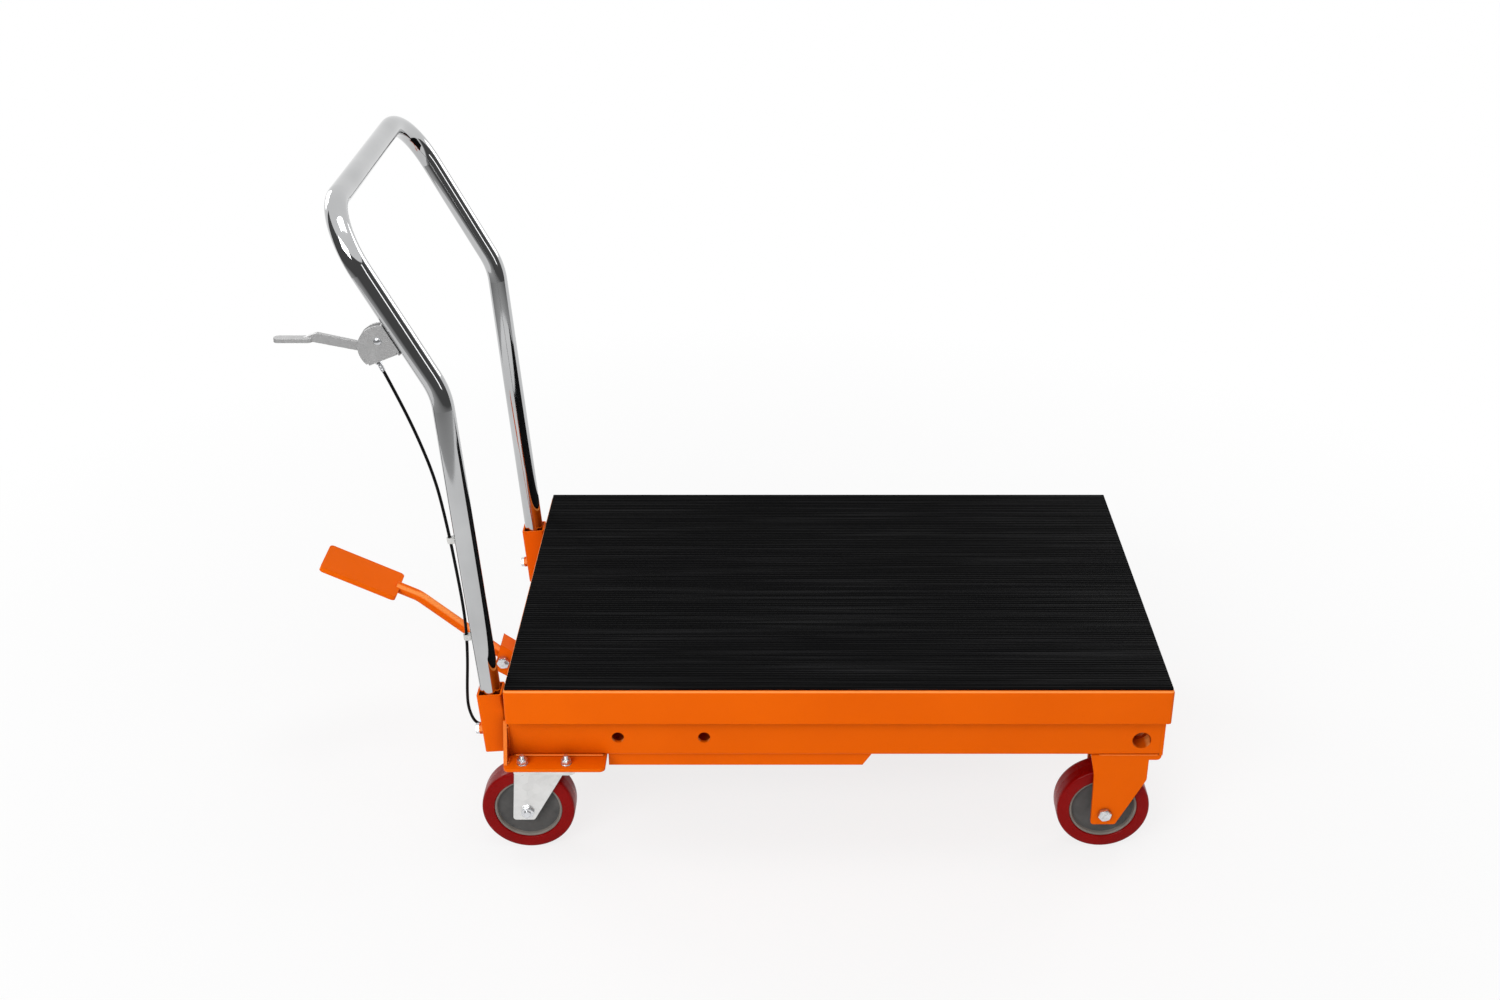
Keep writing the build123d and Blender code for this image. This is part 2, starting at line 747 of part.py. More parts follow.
# Swivel forks, trailing to the rear at rest
caster_axle_x = caster_x - caster_trail
leg_in = wheel_width / 2 + wheel_side_gap
leg_out = leg_in + fork_leg_sheet
leg_rear_x = caster_x - fork_leg_back
leg_front_x = caster_x + fork_leg_front
leg_points = (
    (caster_axle_x - fork_foot_back, wheel_radius - fork_foot_drop),
    (caster_axle_x + fork_foot_front, wheel_radius - fork_foot_drop),
    (leg_front_x, crown_bottom - fork_leg_knee),
    (leg_front_x, crown_top),
    (leg_rear_x, crown_top),
)
with BuildPart() as right_caster_fork:
    for leg_y in (-caster_side - leg_in, -caster_side + leg_out):
        with BuildSketch(side_plane(leg_y)) as leg:
            with BuildLine():
                Polyline(*leg_points, close=True)
            make_face()
            fillet(leg.vertices().group_by(Axis.Y)[0], fork_foot_corner)
            with Locations((caster_axle_x, wheel_radius)):
                Circle(axle_radius, mode=Mode.SUBTRACT)
        extrude(amount=fork_leg_sheet)
    with BuildSketch(Plane.XY.offset(crown_bottom)):
        with Locations(((leg_rear_x + leg_front_x) / 2, -caster_side)):
            Rectangle(leg_front_x - leg_rear_x, 2 * leg_out)
        with Locations((caster_x, -caster_side)):
            Circle(raceway_outer)
    extrude(amount=fork_sheet)
    add(pin_z(caster_x, -caster_side, raceway_outer, crown_top, race_split))
    add(pin_z(caster_x, -caster_side, raceway_inner, crown_top, race_split), mode=Mode.SUBTRACT)
    kingpin_bore = kingpin_radius + running_fit
    add(pin_z(caster_x, -caster_side, kingpin_bore, crown_bottom, crown_top), mode=Mode.SUBTRACT)
save(right_caster_fork, "right_caster_fork")

with BuildPart() as left_caster_fork:
    mirror(right_caster_fork.part, about=Plane.XZ)
save(left_caster_fork, "left_caster_fork")

with BuildPart() as right_caster_axle:
    head_y = -caster_side - leg_out
    nut_y = -caster_side + leg_out
    add(pin_y(caster_axle_x, wheel_radius, axle_radius, head_y, nut_y + axle_nut_height))
    add(hex_y(caster_axle_x, wheel_radius, axle_head_across, head_y - axle_head_height, head_y))
    add(hex_y(caster_axle_x, wheel_radius, axle_head_across, nut_y, nut_y + axle_nut_height))
save(right_caster_axle, "right_caster_axle")

with BuildPart() as left_caster_axle:
    mirror(right_caster_axle.part, about=Plane.XZ)
save(left_caster_axle, "left_caster_axle")

# Wheels: a moulded hub with a recess on each face, and a polyurethane tread round it
hub_radius = wheel_radius - tread_depth
wheel_places = {
    "rear_right": (caster_axle_x, -caster_side),
    "rear_left": (caster_axle_x, caster_side),
    "front_right": (front_axle_x, front_wheel_y),
    "front_left": (front_axle_x, -front_wheel_y),
}
for place, (wheel_x, wheel_y) in wheel_places.items():
    wheel_plane = Plane(origin=(wheel_x, wheel_y, wheel_radius), x_dir=(1, 0, 0), z_dir=(0, -1, 0))
    with BuildPart() as hub:
        with BuildSketch(wheel_plane):
            Circle(hub_radius)
            Circle(axle_radius + running_fit, mode=Mode.SUBTRACT)
        extrude(amount=wheel_width / 2, both=True)
        for side in (-1, 1):
            with BuildSketch(wheel_plane.offset(side * wheel_width / 2)):
                Circle(hub_radius - hub_rim)
                Circle(hub_boss_radius, mode=Mode.SUBTRACT)
            extrude(amount=-side * hub_recess_depth, mode=Mode.SUBTRACT)
    save(hub, f"{place}_hub")
    with BuildPart() as tread:
        with BuildSketch(wheel_plane):
            Circle(wheel_radius)
        extrude(amount=wheel_width / 2, both=True)
        fillet(tread.edges().filter_by(GeomType.CIRCLE), tread_edge_radius)
        with BuildSketch(wheel_plane):
            Circle(hub_radius)
        extrude(amount=wheel_width / 2, both=True, mode=Mode.SUBTRACT)
    save(tread, f"{place}_tread")

# Base pivot pins, pressed into the rail bosses
with BuildPart() as base_pivot_pins:
    pin_recess = rail_face - rail_wall - pivot_recess
    add(pin_y(pivot_x, pivot_z, pivot_pin_radius, -pin_recess, -outer_arm_in + arm_side_gap))
    add(pin_y(pivot_x, pivot_z, pivot_collar_radius, -rail_mouth, -outer_arm_out - side_play))
    mirror(about=Plane.XZ)
save(base_pivot_pins, "base_pivot_pins")

# Outer scissor arms, from the base pivot at the front up to the upper rollers
with BuildPart() as outer_arms:
    with BuildSketch(side_plane(-outer_arm_in)):
        with Locations((centre_x, centre_z)):
            SlotCenterToCenter(arm_span, arm_width, rotation=-rest_angle)
            Circle(centre_pin_radius, mode=Mode.SUBTRACT)
        with Locations((pivot_x, pivot_z)):
            Circle(pivot_pin_radius + running_fit, mode=Mode.SUBTRACT)
        with Locations((roller_x, upper_z)):
            Circle(roller_pin_radius, mode=Mode.SUBTRACT)
    extrude(amount=arm_sheet)
    mirror(about=Plane.XZ)
save(outer_arms, "outer_arms")

# Outer arm pins: centre pins and upper roller pins
with BuildPart() as outer_arm_pins:
    add(pin_y(centre_x, centre_z, centre_pin_radius, -outer_arm_out, -inner_arm_in + pin_flange))
    add(pin_y(centre_x, centre_z, centre_head_radius, -outer_arm_out - centre_head, -outer_arm_out))
    add(pin_y(centre_x, centre_z, centre_head_radius, -outer_arm_in, -inner_arm_out - side_play))
    clip_y = -inner_arm_in + side_play
    add(pin_y(centre_x, centre_z, pin_flange_radius, clip_y, clip_y + pin_flange))
    flange_y = -roller_out - side_play
    add(pin_y(roller_x, upper_z, roller_pin_radius, flange_y, -outer_arm_in))
    add(pin_y(roller_x, upper_z, pin_flange_radius, flange_y - pin_flange, flange_y))
    add(pin_y(roller_x, upper_z, pin_flange_radius, -roller_in + side_play, -outer_arm_out))
    mirror(about=Plane.XZ)
save(outer_arm_pins, "outer_arm_pins")

# Tubes between the outer arms: the torque tube at the base pivot and the tube at the upper rollers
with BuildPart() as outer_cross_tubes:
    add(pin_y(pivot_x, pivot_z, torque_tube_radius, -outer_arm_in, outer_arm_in))
    add(pin_y(pivot_x, pivot_z, torque_tube_bore, -outer_arm_in, outer_arm_in), mode=Mode.SUBTRACT)
    add(pin_y(roller_x, upper_z, cross_tube_radius, -outer_arm_in, outer_arm_in))
    add(pin_y(roller_x, upper_z, cross_tube_bore, -outer_arm_in, outer_arm_in), mode=Mode.SUBTRACT)
save(outer_cross_tubes, "outer_cross_tubes")

# Inner scissor arms, from the lower rollers up to the deck pivot at the front
with BuildPart() as inner_arms:
    with BuildSketch(side_plane(-inner_arm_in)):
        with Locations((centre_x, centre_z)):
            SlotCenterToCenter(arm_span, arm_width, rotation=rest_angle)
            Circle(centre_pin_radius + running_fit, mode=Mode.SUBTRACT)
        with Locations((pivot_x, upper_z)):
            Circle(deck_pin_radius + running_fit, mode=Mode.SUBTRACT)
        with Locations((roller_x, pivot_z)):
            Circle(roller_pin_radius, mode=Mode.SUBTRACT)
    extrude(amount=arm_sheet)
    mirror(about=Plane.XZ)
save(inner_arms, "inner_arms")

with BuildPart() as inner_cross_tubes:
    for tube_x, tube_z in ((tie_x, tie_z), (pivot_x, upper_z)):
        add(pin_y(tube_x, tube_z, cross_tube_radius, -inner_arm_in, inner_arm_in))
        add(pin_y(tube_x, tube_z, cross_tube_bore, -inner_arm_in, inner_arm_in), mode=Mode.SUBTRACT)
save(inner_cross_tubes, "inner_cross_tubes")

with BuildPart() as lower_roller_pins:
    add(pin_y(roller_x, pivot_z, roller_pin_radius, flange_y, -inner_arm_in))
    add(pin_y(roller_x, pivot_z, pin_flange_radius, flange_y - pin_flange, flange_y))
    add(pin_y(roller_x, pivot_z, pin_flange_radius, -roller_in + side_play, -inner_arm_out))
    mirror(about=Plane.XZ)
save(lower_roller_pins, "lower_roller_pins")

# Rollers in the rails and in the deck tracks
for level, roller_z in (("lower", pivot_z), ("upper", upper_z)):
    with BuildPart() as right_roller:
        add(pin_y(roller_x, roller_z, roller_radius, -roller_out, -roller_in))
        chamfer(right_roller.edges().filter_by(GeomType.CIRCLE), roller_chamfer)
        roller_bore = roller_pin_radius + running_fit
        add(pin_y(roller_x, roller_z, roller_bore, -roller_out, -roller_in), mode=Mode.SUBTRACT)
    save(right_roller, f"{level}_right_roller")
    with BuildPart() as left_roller:
        mirror(right_roller.part, about=Plane.XZ)
    save(left_roller, f"{level}_left_roller")

# Crank on the torque tube, with a slotted eye for the ram's pin
lug_radius_at = crank_radius - crank_dip / 2
lug_x = pivot_x + lug_radius_at * cos(radians(crank_start))
lug_z = pivot_z + lug_radius_at * sin(radians(crank_start))
with BuildPart() as lift_crank:
    with BuildSketch(side_plane(0)):
        with Locations((pivot_x, pivot_z)):
            Circle(crank_hub_radius)
        with Locations((lug_x, lug_z)):
            Circle(crank_lug_radius)
        make_hull()
        with Locations((pivot_x, pivot_z)):
            Circle(torque_tube_radius, mode=Mode.SUBTRACT)
        with Locations((lug_x, lug_z)):
            slot_height = 2 * (ram_pin_radius + ram_pin_play)
            SlotCenterToCenter(crank_dip, slot_height, rotation=crank_start, mode=Mode.SUBTRACT)
    extrude(amount=crank_sheet / 2, both=True)
save(lift_crank, "lift_crank")

# Ram: cylinder against the pump's face with its gland, rod with piston and clevis, and the clevis pin
with BuildPart() as ram_cylinder:
    with BuildSketch(ram_plane(-cylinder_radius)):
        Circle(cylinder_radius)
    extrude(amount=cylinder_length + cylinder_radius)
    split(bisect_by=Plane.YZ.offset(pump_face_x), keep=Keep.TOP)
    with BuildSketch(ram_plane(cylinder_length)):
        Circle(gland_radius)
    extrude(amount=gland_lip)
    with BuildSketch(ram_plane(cylinder_end_wall)):
        Circle(cylinder_bore)
    extrude(amount=cylinder_length - gland_length - cylinder_end_wall, mode=Mode.SUBTRACT)
    with BuildSketch(ram_plane(cylinder_length - gland_length)):
        Circle(rod_radius + running_fit)
    extrude(amount=gland_length + gland_lip, mode=Mode.SUBTRACT)
save(ram_cylinder, "ram_cylinder")

clevis_start = ram_length - clevis_depth - clevis_heel
with BuildPart() as ram_rod:
    with BuildSketch(ram_plane(piston_start)):
        Circle(cylinder_bore - running_fit)
    extrude(amount=piston_length)
    with BuildSketch(ram_plane(piston_start)):
        Circle(rod_radius)
    extrude(amount=clevis_start - piston_start)
    cheek_points = (
        ram_point(clevis_start, -clevis_radius),
        ram_point(ram_length, -clevis_radius),
        ram_point(ram_length, clevis_radius),
        ram_point(clevis_start, clevis_radius),
    )
    add(plate_y(cheek_points, -clevis_width / 2, clevis_width / 2))
    add(pin_y(ram_pin_x, ram_pin_z, clevis_radius, -clevis_width / 2, clevis_width / 2))
    throat = crank_sheet / 2 + clevis_side_gap
    throat_start = clevis_start + clevis_heel
    throat_points = (
        ram_point(throat_start, -2 * clevis_radius),
        ram_point(ram_length + 2 * clevis_radius, -2 * clevis_radius),
        ram_point(ram_length + 2 * clevis_radius, 2 * clevis_radius),
        ram_point(throat_start, 2 * clevis_radius),
    )
    add(plate_y(throat_points, -throat, throat), mode=Mode.SUBTRACT)
    add(pin_y(ram_pin_x, ram_pin_z, ram_pin_radius, -clevis_width, clevis_width), mode=Mode.SUBTRACT)
save(ram_rod, "ram_rod")

with BuildPart() as ram_pin:
    pin_end = clevis_width / 2 + ram_pin_head
    add(pin_y(ram_pin_x, ram_pin_z, ram_pin_radius, -pin_end, pin_end))
    add(pin_y(ram_pin_x, ram_pin_z, ram_pin_head_radius, -pin_end, -clevis_width / 2))
    add(pin_y(ram_pin_x, ram_pin_z, ram_pin_head_radius, clevis_width / 2, pin_end))
save(ram_pin, "ram_pin")

# Pump body: block, riser that carries the ram, ear for the pedal and lobe for the plunger
with BuildPart() as pump_body:
    block_points = (
        (pump_x - pump_back, pump_bottom),
        (pump_face_x, pump_bottom),
        (pump_face_x, riser_top),
        (pump_x + riser_back, riser_top),
        (pump_x + riser_back, pump_top),
        (pump_x - pump_back, pump_top),
    )
    add(plate_y(block_points, -pump_half_width, pump_half_width))
    with BuildSketch(side_plane(0)):
        with Locations((pump_x, pump_z)):
            Circle(pump_ear_radius)
        with Locations((pump_x, pump_top)):
            Rectangle(2 * pump_back, pump_floor, align=(Align.CENTER, Align.MAX))
        make_hull()
    extrude(amount=pump_ear_width / 2, both=True)
    with BuildSketch(Plane.XY.offset(pump_bottom)):
        with Locations((plunger_x, 0)):
            Circle(pump_lobe_radius)
        with Locations((pump_x - pump_back, 0)):
            Rectangle(plunger_offset - pump_back, 2 * pump_lobe_radius, align=(Align.MAX, Align.CENTER))
    extrude(amount=pump_height)
    plunger_bore = plunger_radius + running_fit
    add(pin_z(plunger_x, 0, plunger_bore, pump_bottom + pump_floor, pump_top), mode=Mode.SUBTRACT)
    add(pin_y(pump_x, pump_z, pump_pivot_radius, -pump_ear_width, pump_ear_width), mode=Mode.SUBTRACT)
save(pump_body, "pump_body")

# Cradle plates that hang the pump from the rear crossmember
with BuildPart() as pump_cradle:
    cradle_points = (
        (rail_start, pump_bottom),
        (pump_face_x, pump_bottom),
        (pump_face_x, riser_top),
        (pump_face_x - cradle_corner, rail_top - end_plate),
        (rail_start, rail_top - end_plate),
    )
    add(plate_y(cradle_points, -cradle_out, -pump_half_width))
    mirror(about=Plane.XZ)
save(pump_cradle, "pump_cradle")

with BuildPart() as pedal_pivot_pin:
    pivot_end = pedal_arm_width / 2 + side_play
    add(pin_y(pump_x, pump_z, pump_pivot_radius, -pivot_end, pivot_end))
    for side in (-1, 1):
        head_from = side * pivot_end
        head_to = side * (pivot_end + pin_flange)
        add(pin_y(pump_x, pump_z, pin_flange_radius, head_from, head_to))
save(pedal_pivot_pin, "pedal_pivot_pin")

# Pedal arm: a forked lever on the pump's ear, with a solid end bored for the pedal rod
arm_tip_top = (pump_x - pedal_arm_top_back, pump_z + pedal_arm_top_rise)
arm_tip_low = (pump_x - pedal_arm_low_back, pump_z + pedal_arm_low_rise)
bolt_x = pump_x - pedal_bolt_back
bolt_z = pump_z + pedal_bolt_rise
rod_slope = radians(pedal_rod_slope)
rod_direction = Vector(-cos(rod_slope), 0, sin(rod_slope))
pedal_bolt_point = Vector(bolt_x, 0, bolt_z)
rod_foot = pedal_bolt_point - rod_direction * pedal_rod_insert / 2
with BuildPart() as pedal_arm:
    with BuildSketch(side_plane(0)):
        with Locations((pump_x, pump_z)):
            Circle(pedal_arm_radius)
        with BuildLine():
            Polyline(arm_tip_low, arm_tip_top, (bolt_x, bolt_z), close=True)
        make_hull()
    extrude(amount=pedal_arm_width / 2, both=True)
    with BuildSketch(side_plane(0)):
        with Locations((pump_x, pump_z)):
            Circle(pedal_arm_solid)
    extrude(amount=pedal_arm_width / 2 - pedal_arm_cheek, both=True, mode=Mode.SUBTRACT)
    with BuildSketch(Plane(origin=rod_foot, x_dir=(0, 1, 0), z_dir=rod_direction)):
        Circle(pedal_rod_radius)
    extrude(amount=2 * pedal_arm_solid, mode=Mode.SUBTRACT)
    add(pin_y(bolt_x, bolt_z, pedal_bolt_radius, -pedal_arm_width, pedal_arm_width), mode=Mode.SUBTRACT)
    pivot_bore = pump_pivot_radius + running_fit
    add(pin_y(pump_x, pump_z, pivot_bore, -pedal_arm_width, pedal_arm_width), mode=Mode.SUBTRACT)
save(pedal_arm, "pedal_arm")

with BuildPart() as pedal_bolt:
    bolt_end = pedal_arm_width / 2
    add(pin_y(bolt_x, bolt_z, pedal_bolt_radius, -bolt_end, bolt_end + pedal_bolt_head))
    add(hex_y(bolt_x, bolt_z, pedal_bolt_across, -bolt_end - pedal_bolt_head, -bolt_end))
    add(hex_y(bolt_x, bolt_z, pedal_bolt_across, bolt_end, bolt_end + pedal_bolt_head))
save(pedal_bolt, "pedal_bolt")

# Foot pedal: a bent rod with a thick flat pad welded on its end
pad_slope = radians(pedal_pad_slope)
pad_direction = Vector(-cos(pad_slope), 0, sin(pad_slope))
pad_normal = Vector(sin(pad_slope), 0, cos(pad_slope))
rod_knee = pedal_bolt_point + rod_direction * pedal_rod_run
pad_start = rod_knee + pad_direction * pedal_pad_lead
rod_tip = pad_start + pad_direction * pedal_pad_weld
with BuildPart() as foot_pedal:
    with BuildLine() as rod_path:
        FilletPolyline(rod_foot, rod_knee, rod_tip, radius=pedal_rod_bend)
    with BuildSketch(Plane(origin=rod_foot, x_dir=(0, 1, 0), z_dir=rod_direction)):
        Circle(pedal_rod_radius)
    sweep()
    pad_middle = pad_start + pad_direction * (pedal_pad_length / 2)
    with BuildSketch(Plane(origin=pad_middle, x_dir=pad_direction, z_dir=pad_normal)):
        RectangleRounded(pedal_pad_length, pedal_pad_width, pedal_pad_corner)
    extrude(amount=pedal_pad_sheet / 2, both=True)
    add(pin_y(bolt_x, bolt_z, pedal_bolt_radius, -pedal_arm_width, pedal_arm_width), mode=Mode.SUBTRACT)
save(foot_pedal, "foot_pedal")

# Pump plunger, pressed down by the pedal arm
with BuildPart() as pump_plunger:
    low_reach = hypot(pedal_arm_low_back, pedal_arm_low_rise)
    arm_under = atan2(pedal_arm_low_rise, pedal_arm_low_back) + asin(pedal_arm_radius / low_reach)
    cap_back = plunger_offset - plunger_cap_radius
    arm_under_z = pump_z + cap_back * tan(arm_under) - pedal_arm_radius / cos(arm_under)
    plunger_top = arm_under_z - side_play
    add(pin_z(plunger_x, 0, plunger_radius, plunger_top - plunger_length, plunger_top))
    add(pin_z(plunger_x, 0, plunger_cap_radius, plunger_top - plunger_cap_height, plunger_top))
save(pump_plunger, "pump_plunger")

# Release valve lever on top of the pump
with BuildPart() as valve_lever:
    valve_top = valve_z + side_play + valve_height
    add(pin_z(valve_x, 0, valve_radius, valve_z + side_play, valve_top))
    with BuildSketch(Plane.XY.offset(valve_top - valve_lever_sheet)):
        with Locations((valve_x - valve_lever_length / 2, 0)):
            SlotCenterToCenter(valve_lever_length, valve_lever_width)
    extrude(amount=valve_lever_sheet)
save(valve_lever, "valve_lever")

# Handle sockets: square tubes leaning with the handle, welded to the crossmember
socket_plane = Plane(origin=handle_foot, x_dir=lean_cross, z_dir=lean_axis)
clamp_point = handle_foot + lean_axis * clamp_height - lean_cross * (socket_outer / 2)
clamp_plane = Plane(origin=clamp_point, x_dir=(0, 1, 0), z_dir=-lean_cross)
socket_side_low = -handle_side - socket_outer / 2
socket_side_high = -handle_side + socket_outer / 2
with BuildPart() as handle_sockets:
    with BuildSketch(socket_plane):
        RectangleRounded(socket_outer, socket_outer, socket_corner)
    extrude(amount=socket_length)
    lean_slope = tan(radians(handle_lower_lean))
    weld_x = handle_x + socket_outer / 2 - socket_wall / 2
    weld_points = (
        (weld_x - lean_slope * socket_weld_lift, rail_bottom + socket_weld_lift),
        (rear_face, rail_bottom + socket_weld_lift),
        (rear_face, rail_bottom + socket_weld_height),
        (weld_x - lean_slope * socket_weld_height, rail_bottom + socket_weld_height),
    )
    add(plate_y(weld_points, socket_side_low, socket_side_high))
    with BuildSketch(clamp_plane.offset(-socket_wall / 2)):
        RegularPolygon(clamp_boss_radius, 6)
    extrude(amount=clamp_boss_height + socket_wall / 2)
    with BuildSketch(socket_plane.offset(-socket_wall)):
        Rectangle(socket_inner, socket_inner)
    extrude(amount=socket_length + 2 * socket_wall, mode=Mode.SUBTRACT)
    with BuildSketch(clamp_plane.offset(-2 * socket_wall)):
        Circle(clamp_bolt_radius)
    extrude(amount=clamp_boss_height + 3 * socket_wall, mode=Mode.SUBTRACT)
    mirror(about=Plane.XZ)
save(handle_sockets, "handle_sockets")

with BuildPart() as handle_clamp_bolts:
    with BuildSketch(clamp_plane.offset(-socket_wall - seat_gap / 2)):
        Circle(clamp_bolt_radius)
    extrude(amount=clamp_boss_height + socket_wall + seat_gap / 2)
    with BuildSketch(clamp_plane.offset(clamp_boss_height)):
        RegularPolygon(clamp_bolt_across / 2, 6, major_radius=False)
    extrude(amount=clamp_bolt_head)
    mirror(about=Plane.XZ)
save(handle_clamp_bolts, "handle_clamp_bolts")

# Push handle: one bent tube from socket to socket
handle_start = handle_foot + lean_axis * handle_seat
handle_path_right = [
    handle_start,
    handle_bend,
    Vector(top_x, -handle_side, top_z),
]
handle_path_left = [Vector(point.X, -point.Y, point.Z) for point in reversed(handle_path_right)]
handle_radii = (handle_bend_radius, handle_corner_radius, handle_corner_radius, handle_bend_radius)
with BuildPart() as push_handle:
    with BuildLine():
        FilletPolyline(*handle_path_right, *handle_path_left, radius=handle_radii)
    with BuildSketch(Plane(origin=handle_start, x_dir=lean_cross, z_dir=lean_axis)):
        Circle(handle_radius)
        Circle(handle_radius - handle_wall, mode=Mode.SUBTRACT)
    sweep()
save(push_handle, "push_handle")

# Lever bracket: two half-round cheeks joined by a web on the tube and a folded tab for the cable
pivot = lever_pivot_point
cheek_in = lever_bracket_gap / 2
cheek_out = cheek_in + lever_bracket_sheet
weld_line = handle_radius + lever_bracket_sheet
cheek_line = sqrt(handle_radius**2 - cheek_in**2) + seat_gap
tilt = radians(lever_bracket_tilt)
tab_along = Vector(cos(tilt), 0, sin(tilt))
tab_up = Vector(-sin(tilt), 0, cos(tilt))


def beside_tube(along, out):
    """X and Z of a point placed along the upper tube and out from its axis."""
    point = handle_bend + upper_axis * along + upper_out * out
    return (point.X, point.Z)


def from_pivot(along, up):
    """X and Z of a point placed from the lever's pivot along the bracket's tab and square to it."""
    point = pivot + tab_along * along + tab_up * up
    return (point.X, point.Z)


tab_low = -lever_tab_drop - lever_bracket_sheet
tube_reach = 3 * lever_bracket_radius
with BuildPart() as lever_bracket:
    for cheek_y in (-handle_side - cheek_in, -handle_side + cheek_out):
        with BuildSketch(side_plane(cheek_y)):
            with Locations(from_pivot(0, -lever_bracket_drop)):
                Circle(lever_bracket_radius)
            with BuildLine():
                Polyline(
                    from_pivot(-tube_reach, -lever_tab_drop),
                    from_pivot(tube_reach, -lever_tab_drop),
                    from_pivot(tube_reach, -tube_reach),
                    from_pivot(-tube_reach, -tube_reach),
                    close=True,
                )
            make_face(mode=Mode.SUBTRACT)
            with BuildLine():
                Polyline(
                    beside_tube(lever_along - tube_reach, cheek_line),
                    beside_tube(lever_along + tube_reach, cheek_line),
                    beside_tube(lever_along + tube_reach, -tube_reach),
                    beside_tube(lever_along - tube_reach, -tube_reach),
                    close=True,
                )
            make_face(mode=Mode.SUBTRACT)
            with Locations((pivot.X, pivot.Z)):
                Circle(lever_pivot_radius, mode=Mode.SUBTRACT)
        extrude(amount=lever_bracket_sheet)
    web_points = (
        beside_tube(lever_along - lever_web_down, handle_radius + seat_gap),
        beside_tube(lever_along + lever_web_up, handle_radius + seat_gap),
        beside_tube(lever_along + lever_web_up, weld_line),
        beside_tube(lever_along - lever_web_down, weld_line),
    )
    add(plate_y(web_points, -handle_side - cheek_out, -handle_side + cheek_out))
    tab_points = (
        from_pivot(-lever_tab_start, tab_low),
        from_pivot(lever_tab_length - lever_tab_start, tab_low),
        from_pivot(lever_tab_length - lever_tab_start, -lever_tab_drop),
        from_pivot(-lever_tab_start, -lever_tab_drop),
    )
    add(plate_y(tab_points, -handle_side - cheek_out, -handle_side + cheek_out))
save(lever_bracket, "lever_bracket")

with BuildPart() as lever_pivot:
    head_out = cheek_out + lever_pivot_head
    add(pin_y(pivot.X, pivot.Z, lever_pivot_radius, -handle_side - cheek_out, -handle_side + cheek_out))
    for side in (-1, 1):
        head_from = -handle_side + side * cheek_out
        head_to = -handle_side + side * head_out
        add(pin_y(pivot.X, pivot.Z, lever_pivot_head_radius, head_from, head_to))
save(lever_pivot, "lever_pivot")

# Release lever: an upright strip in the bracket, turned flat into a finger pad outside it
hub_edge_x = pivot.X - lever_hub_reach
hub_edge_z = pivot.Z - lever_hub_drop
kink_x = pivot.X - lever_kink
kink_z = pivot.Z + lever_kink_rise
pad_z = kink_z - lever_depth / 2 + lever_sheet / 2
with BuildPart() as release_lever:
    with BuildSketch(side_plane(-handle_side)):
        with Locations((pivot.X, pivot.Z)):
            Circle(lever_hub_radius)
        with Locations((hub_edge_x, hub_edge_z)):
            Circle(lever_depth / 2)
        make_hull()
        with BuildLine():
            Polyline(
                (hub_edge_x, hub_edge_z - lever_depth / 2),
                (hub_edge_x, hub_edge_z + lever_depth / 2),
                (kink_x + lever_depth / 2, kink_z + lever_depth / 2),
                (kink_x - lever_depth, pad_z + lever_sheet / 2),
                (kink_x - lever_depth, pad_z - lever_sheet / 2),
                (kink_x, kink_z - lever_depth / 2),
                close=True,
            )
        make_face()
        with Locations((pivot.X, pivot.Z)):
            Circle(lever_pivot_radius + running_fit, mode=Mode.SUBTRACT)
    extrude(amount=lever_sheet / 2, both=True)
    with BuildSketch(Plane.XY.offset(pad_z - lever_sheet / 2)):
        with Locations((kink_x - lever_pad_length / 2, -handle_side)):
            SlotOverall(lever_pad_length, lever_pad_width)
    extrude(amount=lever_sheet)
save(release_lever, "release_lever")

# Release cable, held along the handle: straight runs joined by arcs as large as the runs allow
cable_start = pivot - tab_along * adjuster_place + tab_up * (tab_low - adjuster_length)
cable_points = [cable_start, cable_start - tab_up * cable_lead]
for height, gap in cable_beside_tube:
    tube_x = handle_x - height * tan(radians(handle_lower_lean))
    cable_points.append(Vector(tube_x - handle_radius - gap, -handle_side, rail_bottom + height))
tube_back = handle_x - handle_radius
for back, inwards, height in cable_round_socket:
    cable_points.append(Vector(tube_back - back, inwards - handle_side, rail_bottom + height))
for hole_x in (rear_face - cable_hole_lead, rail_start + cable_hole_lead):
    cable_points.append(Vector(hole_x, -cable_hole_side, rail_bottom + cable_hole_height))
valve_tip_x = valve_x - valve_lever_length
valve_tip_z = valve_z + valve_height - valve_lever_sheet / 2
cable_end_side = cradle_out + cable_end_gap
for ahead, share, rise in cable_to_valve:
    cable_side = cable_hole_side + share * (cable_end_side - cable_hole_side)
    cable_points.append(Vector(valve_tip_x + ahead, -cable_side, valve_tip_z + rise))
cable_points.append(Vector(valve_tip_x, -cable_end_side, valve_tip_z))
cable_radii = []
for before, corner, after in zip(cable_points, cable_points[1:], cable_points[2:]):
    half_turn = radians((corner - before).get_angle(after - corner) / 2)
    shorter_run = min((corner - before).length, (after - corner).length)
    cable_radii.append(cable_arc_share * shorter_run / tan(half_turn))
print("cable radii", [round(radius) for radius in cable_radii])
with BuildPart() as cable_sheath:
    with BuildLine() as cable_line:
        FilletPolyline(*cable_points, radius=cable_radii)
    with BuildSketch(Plane(origin=cable_points[0], z_dir=cable_points[1] - cable_points[0])):
        Circle(cable_radius)
    sweep()
save(cable_sheath, "cable_sheath")
cable_length = cable_line.wires()[0].length
cable_volume = pi * cable_radius**2 * cable_length
print("cable length", round(cable_length, 1))
print("cable volume over section times length", round(cable_sheath.part.volume / cable_volume, 4))

